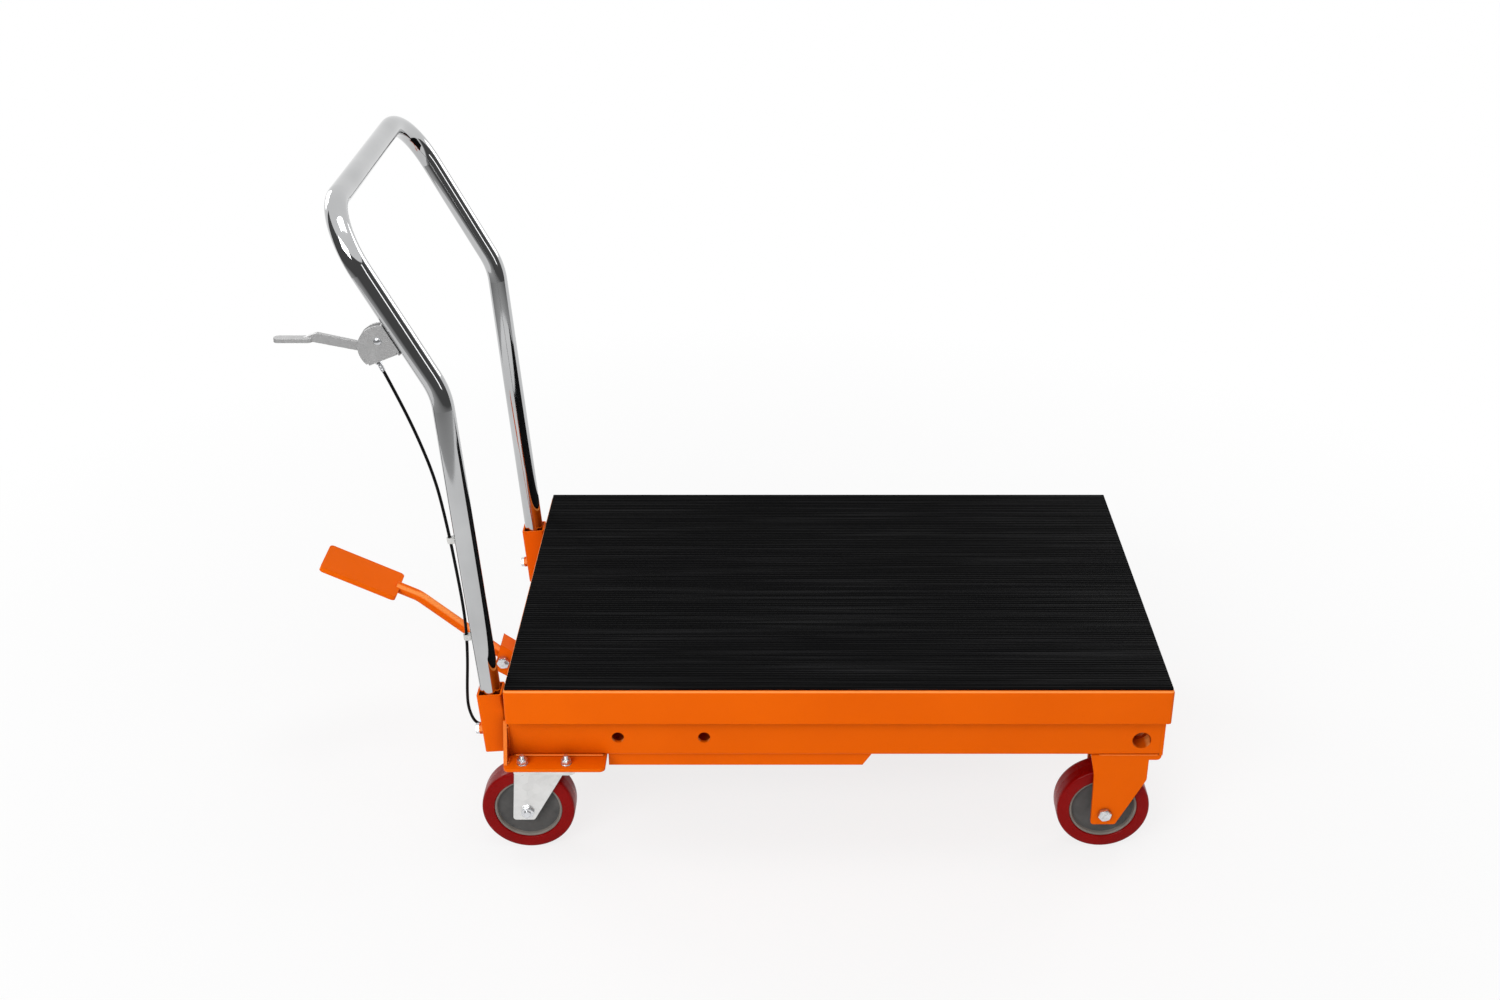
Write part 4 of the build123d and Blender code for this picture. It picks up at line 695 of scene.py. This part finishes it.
def islands(node):
    """Lowest and highest corners of each separate solid in a CAD node."""
    shell = bmesh.new()
    shell.from_mesh(nodes[node].data)
    bmesh.ops.remove_doubles(shell, verts=shell.verts, dist=SAME_PLACE)
    left, found = set(shell.verts), []
    while left:
        group, reach = set(), [left.pop()]
        while reach:
            vertex = reach.pop()
            group.add(vertex)
            for edge in vertex.link_edges:
                other = edge.other_vert(vertex)
                if other in left:
                    left.remove(other)
                    reach.append(other)
        places = [vertex.co for vertex in group]
        low = Vector(min(place[axis] for place in places) for axis in range(3))
        high = Vector(max(place[axis] for place in places) for axis in range(3))
        found.append((low, high))
    shell.free()
    return sorted(found, key=lambda box: tuple(round(value, 4) for value in box[0]))


# Ribbed mat on the deck, with a rib's outline as shares of its pitch and depth
RIB_PITCH = 4.4 * MM
RIB_DEPTH = 0.9 * MM
RIB_VALLEY = [(0.0, 0.15), (0.12, 0.0), (0.3, 0.0)]
RIB_CROWN = [(0.42, 0.7), (0.52, 0.95), (0.64, 1.0), (0.76, 0.95), (0.86, 0.7)]
MAT_CHAMFER = 0.7 * MM
MAT_SHARP = 70.0


def ribbed_mat():
    low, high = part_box("rubber_mat")
    ribs = round((high.y - low.y) / RIB_PITCH)
    pitch = (high.y - low.y) / ribs
    outline = RIB_VALLEY + RIB_CROWN
    line = []
    for rib in range(ribs):
        for share, rise in outline:
            line.append((low.y + (rib + share) * pitch, high.z - RIB_DEPTH * (1 - rise)))
    line.append((high.y, high.z - RIB_DEPTH * (1 - outline[0][1])))
    line += [(high.y, low.z), (low.y, low.z)]
    sections = [(low.x, MAT_CHAMFER), (low.x + MAT_CHAMFER, 0.0)]
    sections += [(high.x - MAT_CHAMFER, 0.0), (high.x, MAT_CHAMFER)]
    mat = Shape()
    for x, cut in sections:
        mat.points += [Vector((x, y, min(z, high.z - cut))) for y, z in line]
    loop = len(line)
    for start in range(0, loop * (len(sections) - 1), loop):
        for step in range(loop):
            after = (step + 1) % loop
            mat.faces.append((start + step, start + after, start + loop + after, start + loop + step))
    mat.faces.append(tuple(range(loop)))
    mat.faces.append(tuple(range(loop * (len(sections) - 1), loop * len(sections))))
    mat.piece("ribbed_mat", "platform", "black_rubber", stands_for=["rubber_mat"], sharp=MAT_SHARP)


ribbed_mat()

# Wheels: outlines as (radius, depth below the wheel's side) in mm, and the shoulder from the tread inwards
TREAD_LIP = 36.8
TYRE_LIP = [(TREAD_LIP, 3.2), (TREAD_LIP + 0.2, 0.9), (TREAD_LIP + 1.4, 0.1)]
TYRE_SHOULDER = [(5.0, 0.0), (1.0, 0.6), (0.15, 4.0)]
TYRE_CROWN = 0.05 * MM
TYRE_FLAT = 0.5 * MM
TYRE_ROUND = 3 * MM
TYRE_ROUND_STEPS = 5
DISC_FACE = [(4.1, 0.0), (10.6, 0.0), (12.2, 1.0), (12.8, 6.4), (31.6, 6.4), (33.8, 5.6)]
DISC_EDGE = (TREAD_LIP, 6.0)
DISC_ROUND = 1.2 * MM
RIM_FACE = [(33.7, 5.7), (34.4, 2.2), (36.2, 1.6), (TREAD_LIP + 0.4, 2.6)]
RIM_BACK = (TREAD_LIP, 6.2)
RIM_ROUND = 1.0 * MM
TYRE_SIDES = 96
DISC_SIDES = 72


def wheel(place):
    """Tyre, disc and two rim rings of one wheel."""
    low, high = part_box(f"{place}_tread")
    centre = (low + high) / 2
    radius = (high.z - low.z) / 2
    half = (high.y - low.y) / 2
    body = f"{place}_wheel"
    turn = placed(centre, ACROSS)

    def below_side(*outline):
        return [(reach * MM, half - depth * MM) for reach, depth in outline]

    flank = below_side(*TYRE_LIP)
    flank += [(radius - inwards * MM, half - depth * MM) for inwards, depth in TYRE_SHOULDER]
    flank.append((radius - TYRE_CROWN, TYRE_FLAT))
    tyre = mirrored(rounded(flank, TYRE_ROUND, TYRE_ROUND_STEPS), [(radius, 0.0)])
    Shape().add(lathe(tyre, TYRE_SIDES, ring=True), turn).piece(
        f"{place}_tyre", body, "red_tread", stands_for=[f"{place}_tread"]
    )
    disc = mirrored(rounded(below_side(*DISC_FACE), DISC_ROUND) + below_side(DISC_EDGE))
    Shape().add(lathe(disc, DISC_SIDES, ring=True), turn).piece(
        f"{place}_disc", body, "hub_plastic", stands_for=[f"{place}_hub"]
    )
    rim = rounded(below_side(*RIM_FACE), RIM_ROUND) + below_side(RIM_BACK)
    rims = Shape()
    for side in RIGHT_LEFT:
        rims.add(lathe(rim, TYRE_SIDES, ring=True), placed(centre, ACROSS * side))
    rims.piece(f"{place}_rim", body, "hub_plastic", "hub_ring")


for place in WHEELS:
    wheel(place)

# Screw sizes, M6 and M8: radius, pitch, width across flats, head and nut heights
M6_RADIUS = 3.0 * MM
M6_PITCH = 1.0 * MM
M6_ACROSS = 10.0 * MM
M6_HEAD = 4.0 * MM
M6_NUT = 6.0 * MM
M8_RADIUS = 4.0 * MM
M8_PITCH = 1.25 * MM
M8_ACROSS = 13.0 * MM
M8_HEAD = 5.3 * MM
M8_NUT = 8.0 * MM
SHANK_SIDES = 24

# Fasteners of the rear casters: those that end above the bracket's level have a nut on top
BRACKET_LEVEL = 130 * MM
NUT_STACK = 10.7 * MM
STUD_TIP = 3.6 * MM
WASHER_RADIUS = 5.9 * MM
WASHER_HEIGHT = 1.2 * MM
SINK_RADIUS = 5.9 * MM
SINK_DEPTH = 3.0 * MM
SOCKET_FLAT = 2.3 * MM
SOCKET_DEPTH = 2.2 * MM
TURN_FIRST = 0.35
TURN_STEP = 0.9


def caster_stud(shape, foot, tip, turn):
    """A bolt up through the bracket's plate, with a washer and a lock nut on top."""
    seat = tip - UP * NUT_STACK
    shape.add(washer(M6_RADIUS, WASHER_RADIUS, WASHER_HEIGHT), placed(seat, UP))
    shape.add(lock_nut(M6_ACROSS, M6_NUT), placed(seat + UP * WASHER_HEIGHT, UP, turn))
    shape.add(thread(M6_RADIUS, STUD_TIP, M6_PITCH), placed(tip - UP * STUD_TIP, UP, turn))
    shape.add(hexagon(M6_ACROSS, M6_HEAD, high=False), placed(foot, UP, turn))
    shape.add(rod(M6_RADIUS, seat.z - foot.z, SHANK_SIDES), placed(foot, UP))


def sunk_bolt(shape, foot, top, turn):
    """A bolt with its head sunk in the bracket's plate and a nut below."""
    head = [(0.0, -SOCKET_DEPTH), (SOCKET_FLAT, -SOCKET_DEPTH, "hexagon"), (SOCKET_FLAT, 0.0, "hexagon")]
    head += [(SINK_RADIUS, 0.0), (M6_RADIUS, -SINK_DEPTH), (0.0, -SINK_DEPTH)]
    shape.add(lathe(head), placed(top, UP, turn))
    shape.add(hexagon(M6_ACROSS, M6_NUT), placed(foot, UP, turn))
    shape.add(rod(M6_RADIUS, top.z - SINK_DEPTH - foot.z, SHANK_SIDES), placed(foot, UP))


caster_fasteners = Shape()
for number, (low, high) in enumerate(islands("caster_bolts")):
    middle = (low + high) / 2
    foot = Vector((middle.x, middle.y, low.z))
    top = Vector((middle.x, middle.y, high.z))
    make_bolt = caster_stud if high.z > BRACKET_LEVEL else sunk_bolt
    make_bolt(caster_fasteners, foot, top, TURN_FIRST + TURN_STEP * number)
caster_fasteners.piece("caster_fasteners", "base", "zinc_fasteners", stands_for=["caster_bolts"])

# Axle bolts of the four wheels
AXLE_TURN = 0.3
AXLE_TUCK = 1.0 * MM
AXLE_SIDES = 32
FLANGE_RADIUS = 6.1 * MM
FLANGE_HEIGHT = 0.6 * MM
REAR_STUD = 2.0 * MM


def axle(shape, low, high, stud=0.0):
    """An axle bolt along Y with its head outside, or a nut there that lets some of the stud stand out."""
    outwards = -1 if low.y + high.y < 0 else 1
    length = high.y - low.y
    middle = (low + high) / 2
    head_end = middle + ACROSS * (outwards * length / 2)
    inwards = placed(head_end, ACROSS * -outwards, AXLE_TURN)

    def inside(depth):
        return inwards @ Matrix.Translation((0, 0, depth))

    if stud:
        stub = placed(head_end - ACROSS * (outwards * stud), ACROSS * outwards)
        shape.add(thread(M8_RADIUS, stud, M8_PITCH), stub)
        shape.add(hexagon(M8_ACROSS, M8_HEAD - stud), inside(stud))
    else:
        head = M8_HEAD - FLANGE_HEIGHT
        shape.add(hexagon(M8_ACROSS, head, high=False), inwards)
        shape.add(rod(FLANGE_RADIUS, FLANGE_HEIGHT), inside(head))
    shape.add(rod(M8_RADIUS, length - M8_NUT, AXLE_SIDES), inside(AXLE_TUCK))
    shape.add(lock_nut(M8_ACROSS, M8_NUT), inside(length - M8_NUT))


front_bolts = Shape()
for low, high in islands("front_axles"):
    axle(front_bolts, low, high)
front_bolts.piece("front_axle_bolts", "base", "zinc_fasteners", stands_for=["front_axles"])
for side in ("right", "left"):
    node = f"{side}_caster_axle"
    rear_bolt = Shape()
    axle(rear_bolt, *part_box(node), REAR_STUD)
    rear_bolt.piece(f"{side}_axle_bolt", f"{side}_caster", "zinc_fasteners", stands_for=[node])

# Pedal's cross bolt
CROSS_HEAD_TURN = 0.4
CROSS_NUT_TURN = 0.7
CROSS_TUCK = 0.5 * MM


def pedal_cross_bolt():
    low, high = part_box("pedal_bolt")
    middle = (low + high) / 2
    length = high.y - low.y
    right_end = middle - ACROSS * (length / 2)
    nut_seat = right_end + ACROSS * (length - M8_HEAD)
    bolt = Shape()
    bolt.add(hexagon(M8_ACROSS, M8_HEAD, high=False), placed(right_end, ACROSS, CROSS_HEAD_TURN))
    bolt.add(hexagon(M8_ACROSS, M8_HEAD), placed(nut_seat, ACROSS, CROSS_NUT_TURN))
    shank = rod(M8_RADIUS, length - 2 * CROSS_TUCK, SHANK_SIDES)
    bolt.add(shank, placed(right_end + ACROSS * CROSS_TUCK, ACROSS))
    bolt.piece("pedal_cross_bolt", "pedal", "zinc_fasteners", stands_for=["pedal_bolt"])


pedal_cross_bolt()

# Clamp bolts in the handle sockets, which lean back with the handle
HANDLE_LEAN = math.radians(3.8)
HANDLE_FOOT = (-248.6, 185.0, 128.0)
CLAMP_RISE = 22.0 * MM
CLAMP_SEAT = 18.45 * MM
CLAMP_DEPTH = 7.2 * MM
CLAMP_LENGTH = 7.3 * MM
CLAMP_TURN = 0.5


def socket_clamp_bolts():
    lean_up = Vector((-math.sin(HANDLE_LEAN), 0, math.cos(HANDLE_LEAN)))
    lean_out = Vector((-math.cos(HANDLE_LEAN), 0, -math.sin(HANDLE_LEAN)))
    clamps = Shape()
    for side in RIGHT_LEFT:
        x, y, z = HANDLE_FOOT
        seat = mm(x, y * side, z) + lean_up * CLAMP_RISE + lean_out * CLAMP_SEAT
        clamps.add(hexagon(M6_ACROSS, M6_HEAD, low=False), placed(seat, lean_out, CLAMP_TURN + side))
        shank = rod(M6_RADIUS, CLAMP_LENGTH, SHANK_SIDES)
        clamps.add(shank, placed(seat - lean_out * CLAMP_DEPTH, lean_out))
    clamps.piece("socket_clamp_bolts", "base", "zinc_fasteners", stands_for=["handle_clamp_bolts"])


socket_clamp_bolts()

# Lever's rivet, its dome as (share of the head's radius, depth below the top)
RIVET_HEAD = 2.2 * MM
RIVET_DOME = [(0.0, 0.0), (0.5, 0.25 * MM), (0.85, 0.9 * MM), (1.0, 1.8 * MM), (1.0, RIVET_HEAD)]
RIVET_SHANK = 2.5 * MM

# Cable's adjuster: where it hangs from the lever's bracket, and its grooved barrel
TAB_TILT = math.radians(22)
TAB_BACK = 11.0 * MM
TAB_DROP = 31.0 * MM
BARREL_PITCH = 1.0 * MM
BARREL_GROOVES = 7
BARREL_SIDES = 40
BARREL_END = 2.0 * MM
BARREL_ROOT = 1.9 * MM
BARREL_CREST = 2.35 * MM
BARREL_GROOVE = [(BARREL_ROOT, 0.4), (BARREL_CREST, 0.7), (BARREL_CREST, 1.1)]
BARREL_NECK = 7.6 * MM
BARREL_LENGTH = 8.5 * MM
BARREL_NUT_ACROSS = 6.2 * MM
BARREL_NUT = 3.0 * MM
BARREL_NUT_TURN = 0.2


def lever_rivet(low, high):
    radius = (high.z - low.z) / 2
    end = (high.y - low.y) / 2
    half = [(radius * share, end - depth) for share, depth in RIVET_DOME]
    half.append((RIVET_SHANK, end - RIVET_HEAD))
    rivet = Shape().add(lathe(mirrored(half)), placed((low + high) / 2, ACROSS))
    rivet.piece("lever_rivet", "base", "zinc_fasteners", stands_for=["lever_pivot"])


def cable_adjuster(pivot):
    along = Vector((math.cos(TAB_TILT), 0, math.sin(TAB_TILT)))
    upwards = Vector((-math.sin(TAB_TILT), 0, math.cos(TAB_TILT)))
    foot = pivot - along * TAB_BACK - upwards * TAB_DROP
    barrel = [(0.0, 0.0), (BARREL_END, 0.0)]
    for groove in range(BARREL_GROOVES):
        barrel += [(reach, (share + groove) * BARREL_PITCH) for reach, share in BARREL_GROOVE]
    barrel += [(BARREL_ROOT, BARREL_NECK), (BARREL_ROOT, BARREL_LENGTH), (0.0, BARREL_LENGTH)]
    nut_seat = placed(foot + upwards * BARREL_LENGTH, upwards, BARREL_NUT_TURN)
    adjuster = Shape().add(lathe(barrel, BARREL_SIDES), placed(foot, upwards))
    adjuster.add(hexagon(BARREL_NUT_ACROSS, BARREL_NUT), nut_seat)
    adjuster.piece("cable_adjuster_barrel", "base", "zinc_fasteners", stands_for=["cable_adjuster"])


pivot_low, pivot_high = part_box("lever_pivot")
lever_rivet(pivot_low, pivot_high)
cable_adjuster(snapped((pivot_low + pivot_high) / 2, HUNDREDTHS))

# Release cable: down beside the handle, round the socket and through the grommet to the valve
CABLE_RADIUS = 1.6 * MM
cable_route = [
    (-329.67, -185.0, 565.09),
    (-316.93, -185.0, 533.57),
    (-302.28, -185.0, 492.0),
    (-289.79, -185.0, 447.0),
    (-283.4, -185.0, 402.0),
    (-278.54, -185.0, 356.0),
    (-272.83, -185.0, 288.0),
    (-274.24, -185.0, 240.0),
    (-278.8, -184.5, 194.0),
    (-279.4, -181.5, 171.0),
    (-275.1, -173.5, 147.5),
    (-266.6, -161.0, 138.0),
    (-255.6, -144.0, 143.0),
    (-243.0, -124.5, 151.0),
    (-223.0, -124.5, 151.0),
    (-210.5, -116.13, 149.5),
    (-201.0, -99.3, 146.5),
    (-198.5, -78.6, 140.0),
    (-198.5, -56.84, 131.0),
    (-198.5, -36.4, 124.5),
]
cable_line = bpy.data.curves.new("release_cable", "CURVE")
cable_line.dimensions = "3D"
cable_line.bevel_depth = CABLE_RADIUS
cable_line.bevel_resolution = 5
cable_line.resolution_u = 10
cable_line.use_fill_caps = True
cable_spline = cable_line.splines.new("NURBS")
cable_spline.points.add(len(cable_route) - 1)
for point, place in zip(cable_spline.points, cable_route):
    point.co = (*mm(*place), 1.0)
cable_spline.order_u = 3
cable_spline.use_endpoint_u = True
cable_line.materials.append(materials["cable_black"])
cable = bpy.data.objects.new("release_cable", cable_line)
scene.collection.objects.link(cable)
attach(cable, "base")
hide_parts("cable_sheath")

# Weld beads: steps and laps in radii, then ripples, wander and thin tips as shares of the radius
BEAD_SIDES = 10
BEAD_STEP = 0.45
BEAD_LAP = 1.5
BEAD_RIPPLE = 0.16
BEAD_WANDER = 0.05
BEAD_TIP = 0.35
BEAD_TIP_GROWTH = 0.3
BEAD_LEAST_STEPS = 8
BEAD_SHARP = 60.0
STEEP = 0.9
NUDGE = 1e-9


def bead(path, radius, seed, closed=False):
    """A weld bead: a thick line along path, with the ripples of its pool."""
    draw = random.Random(seed)
    lengths = [0.0]
    for start, end in zip(path, path[1:]):
        lengths.append(lengths[-1] + (end - start).length)
    total = lengths[-1]
    steps = max(BEAD_LEAST_STEPS, round(total / (BEAD_STEP * radius)))
    count = steps if closed else steps + 1
    points, faces = [], []
    for step in range(count):
        at = total * step / steps
        run = max(index for index, start in enumerate(lengths[:-1]) if start <= at + NUDGE)
        along = (path[run + 1] - path[run]).normalized()
        centre = path[run] + along * (at - lengths[run])
        side_way = along.cross(UP if abs(along.z) < STEEP else ALONG).normalized()
        other_way = along.cross(side_way)
        lap = (at / (BEAD_LAP * radius)) % 1
        ripple = 1 - BEAD_RIPPLE * lap + BEAD_WANDER * (draw.random() - 0.5)
        taper = 1.0 if closed else min(1.0, BEAD_TIP + BEAD_TIP_GROWTH * min(step, steps - step))
        reach = radius * ripple * taper
        for side in range(BEAD_SIDES):
            sideways, otherways, _ = around(reach, TAU * side / BEAD_SIDES, 0)
            points.append(centre + side_way * sideways + other_way * otherways)
    for step in range(count if closed else count - 1):
        this = step * BEAD_SIDES
        after = (step + 1) % count * BEAD_SIDES
        for side in range(BEAD_SIDES):
            beside = (side + 1) % BEAD_SIDES
            faces.append((this + side, this + beside, after + beside, after + side))
    if not closed:
        faces.append(tuple(range(BEAD_SIDES)))
        faces.append(tuple(range((count - 1) * BEAD_SIDES, count * BEAD_SIDES)))
    return points, faces


# How far a bead's middle is off a face, and the beads' radii
PROUD = 0.6 * MM
SUNK = 0.4 * MM
UNDER = 0.7 * MM
FINE_BEAD = 1.3 * MM
SLIM_BEAD = 1.7 * MM
HOOP_BEAD = 1.8 * MM
PLAIN_BEAD = 1.9 * MM
FULL_BEAD = 2.0 * MM
HEAVY_BEAD = 2.2 * MM

# First seeds of the beads' draws
FRAME_SEED = 40
DECK_SEED = 90
PIVOT_SEED = 120
OUTER_SEED = 150
CRANK_SEED = 160
INNER_SEED = 170


def seam(x, y, z, radius):
    """Two ends and the radius of a straight bead. One of x, y and z is a (start, end) pair."""
    ends = []
    for end in (0, 1):
        ends.append(snapped(value[end] if isinstance(value, tuple) else value for value in (x, y, z)))
    return ends, radius


def on_side(path, side):
    """A path made for the left, set on the right or the left."""
    return [Vector((point.x, point.y * side, point.z)) for point in path]


# Gaps from the ends of the rail, bracket and gusset to the ends of their seams
BRACKET_REAR = 2 * MM
BRACKET_FRONT = 3 * MM
GUSSET_PROUD = 0.5 * MM
GUSSET_INSIDE = 3 * MM
GUSSET_OUTSIDE = 9 * MM
UPRIGHT_FOOT = 3 * MM
UPRIGHT_HEAD = 6 * MM
SOCKET_PROUD = 0.55 * MM


def bracket_seams(rail_low, rail_high):
    """Caster bracket and its gusset on the rail, then the handle socket on the rear crossmember."""
    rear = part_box("rear_crossmember")[0].x
    bracket_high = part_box("caster_brackets")[1]
    socket_low, socket_high = islands("handle_sockets")[-1]
    bracket_run = (rail_low.x + BRACKET_REAR, bracket_high.x - BRACKET_FRONT)
    gusset_run = (rail_high.y + GUSSET_INSIDE, bracket_high.y - GUSSET_OUTSIDE)
    upright = (rail_low.z + UPRIGHT_FOOT, rail_high.z - UPRIGHT_HEAD)
    return [
        seam(bracket_run, rail_high.y + PROUD, rail_low.z + PROUD, PLAIN_BEAD),
        seam(rear + SUNK, rail_high.y + GUSSET_PROUD, upright, SLIM_BEAD),
        seam(rear + SUNK, gusset_run, rail_low.z + SUNK, SLIM_BEAD),
        seam(rear - PROUD, socket_low.y - SOCKET_PROUD, upright, PLAIN_BEAD),
        seam(rear - PROUD, socket_high.y + SOCKET_PROUD, upright, PLAIN_BEAD),
    ]


PUMP_FOOT = 22 * MM
PUMP_HEAD = 4 * MM


def pump_seam():
    """Pump cradle's side plate on the rear crossmember."""
    low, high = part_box("pump_cradle")
    return seam(low.x + SUNK, high.y + PROUD, (low.z + PUMP_FOOT, high.z - PUMP_HEAD), HEAVY_BEAD)


# Stitches: their length, how many there are, where they start and how far apart they are
STITCH = 45 * MM
RAIL_STITCHES = 3
RAIL_STITCH_FIRST = 10 * MM
RAIL_STITCH_PITCH = 100 * MM
DECK_STITCHES = 5
DECK_STITCH_FIRST = 26 * MM
DECK_STITCH_PITCH = 130 * MM


def stitches(count, first, pitch, y, z):
    made = []
    for number in range(count):
        start = first + pitch * number
        made.append(seam((start, start + STITCH), y, z, FULL_BEAD))
    return made


def stiffener_seams(rail_bottom):
    """Stiffener under the rail."""
    low, _ = islands("rail_stiffeners")[-1]
    first = low.x + RAIL_STITCH_FIRST
    return stitches(RAIL_STITCHES, first, RAIL_STITCH_PITCH, low.y - SUNK, rail_bottom - UNDER)


# Gaps from the fork's ends to the ends of its seams, and from its tread and its top to the legs' seams
LEG_REAR = 8.5 * MM
LEG_FRONT = 16 * MM
LEG_BESIDE = 2.4 * MM
LEG_BELOW = 6.5 * MM
PLATE_REAR = 3.5 * MM
PLATE_FRONT = 4 * MM
PLATE_UNDER = 0.1 * MM


def fork_seams(rail_low, rail_high):
    """Legs of the front fork under its plate, then the plate on the rail."""
    fork_low, fork_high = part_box("front_forks")
    tread_low, tread_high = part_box("front_left_tread")
    leg_run = (fork_low.x + LEG_REAR, fork_high.x - LEG_FRONT)
    leg_top = fork_high.z - LEG_BELOW
    inner_run = (fork_low.x + PLATE_REAR, fork_high.x - PLATE_FRONT)
    outer_run = (fork_low.x + LEG_REAR, rail_high.x)
    return [
        seam(leg_run, tread_high.y + LEG_BESIDE, leg_top, HEAVY_BEAD),
        seam(leg_run, tread_low.y - LEG_BESIDE, leg_top, HEAVY_BEAD),
        seam(inner_run, rail_low.y - SUNK, rail_low.z - SUNK, FULL_BEAD),
        seam(outer_run, rail_high.y - PROUD, rail_low.z - PLATE_UNDER, FINE_BEAD),
    ]


def frame_welds():
    rail_low, rail_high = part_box("left_rail")
    seams = [*bracket_seams(rail_low, rail_high), pump_seam()]
    seams += stiffener_seams(rail_low.z)
    seams += fork_seams(rail_low, rail_high)
    welds = Shape()
    for side in RIGHT_LEFT:
        for number, (path, radius) in enumerate(seams):
            welds.add(bead(on_side(path, side), radius, FRAME_SEED + 2 * number + side))
    welds.piece("frame_welds", "base", "orange_paint", sharp=BEAD_SHARP)


PIVOT_SHEET = 6 * MM
PIVOT_INSET = 3 * MM


def deck_welds():
    """Stitches along the roller tracks, and both faces of the deck's pivot brackets."""
    track_low, track_high = islands("deck_tracks")[-1]
    pivot_low, pivot_high = islands("deck_pivot_brackets")[-1]
    level = track_high.z - UNDER
    first = track_low.x + DECK_STITCH_FIRST
    tracks = stitches(DECK_STITCHES, first, DECK_STITCH_PITCH, track_low.y - PROUD, level)
    pivot_run = (pivot_low.x + PIVOT_INSET, pivot_high.x - PIVOT_INSET)
    welds = Shape()
    for side in RIGHT_LEFT:
        for number, (path, radius) in enumerate(tracks):
            welds.add(bead(on_side(path, side), radius, DECK_SEED + 2 * number + side))
        for y in (pivot_high.y - PIVOT_SHEET - PROUD, pivot_high.y + PROUD):
            path, radius = seam(pivot_run, y, level, FULL_BEAD)
            welds.add(bead(on_side(path, side), radius, PIVOT_SEED + side + round(y / MM)))
    welds.piece("deck_welds", "platform", "orange_paint", sharp=BEAD_SHARP)


def tube_bead(tube_low, tube_high, y, seed):
    """A bead round a cross tube, at one place along it."""
    middle = (tube_low + tube_high) / 2
    radius = round(((tube_high.x - tube_low.x) / 2 + SUNK) / MM, TENTHS) * MM
    return bead(hoop(snapped((middle.x, y, middle.z)), ACROSS, radius), HOOP_BEAD, seed, closed=True)


def arm_welds(name, body, tubes, seed, crank=None):
    """Beads where cross tubes meet the arms, and beside a crank on the last of the tubes."""
    welds = Shape()
    for side in RIGHT_LEFT:
        for low, high in islands(tubes):
            welds.add(tube_bead(low, high, side * (high.y - PROUD), seed + side))
        if crank:
            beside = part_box(crank)[1].y + SUNK
            welds.add(tube_bead(*islands(tubes)[-1], side * beside, CRANK_SEED + side))
    welds.piece(name, body, "orange_paint", sharp=BEAD_SHARP)


frame_welds()
deck_welds()
arm_welds("outer_arm_welds", "outer_scissor", "outer_cross_tubes", OUTER_SEED, crank="lift_crank")
arm_welds("inner_arm_welds", "inner_scissor", "inner_cross_tubes", INNER_SEED)

low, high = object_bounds()
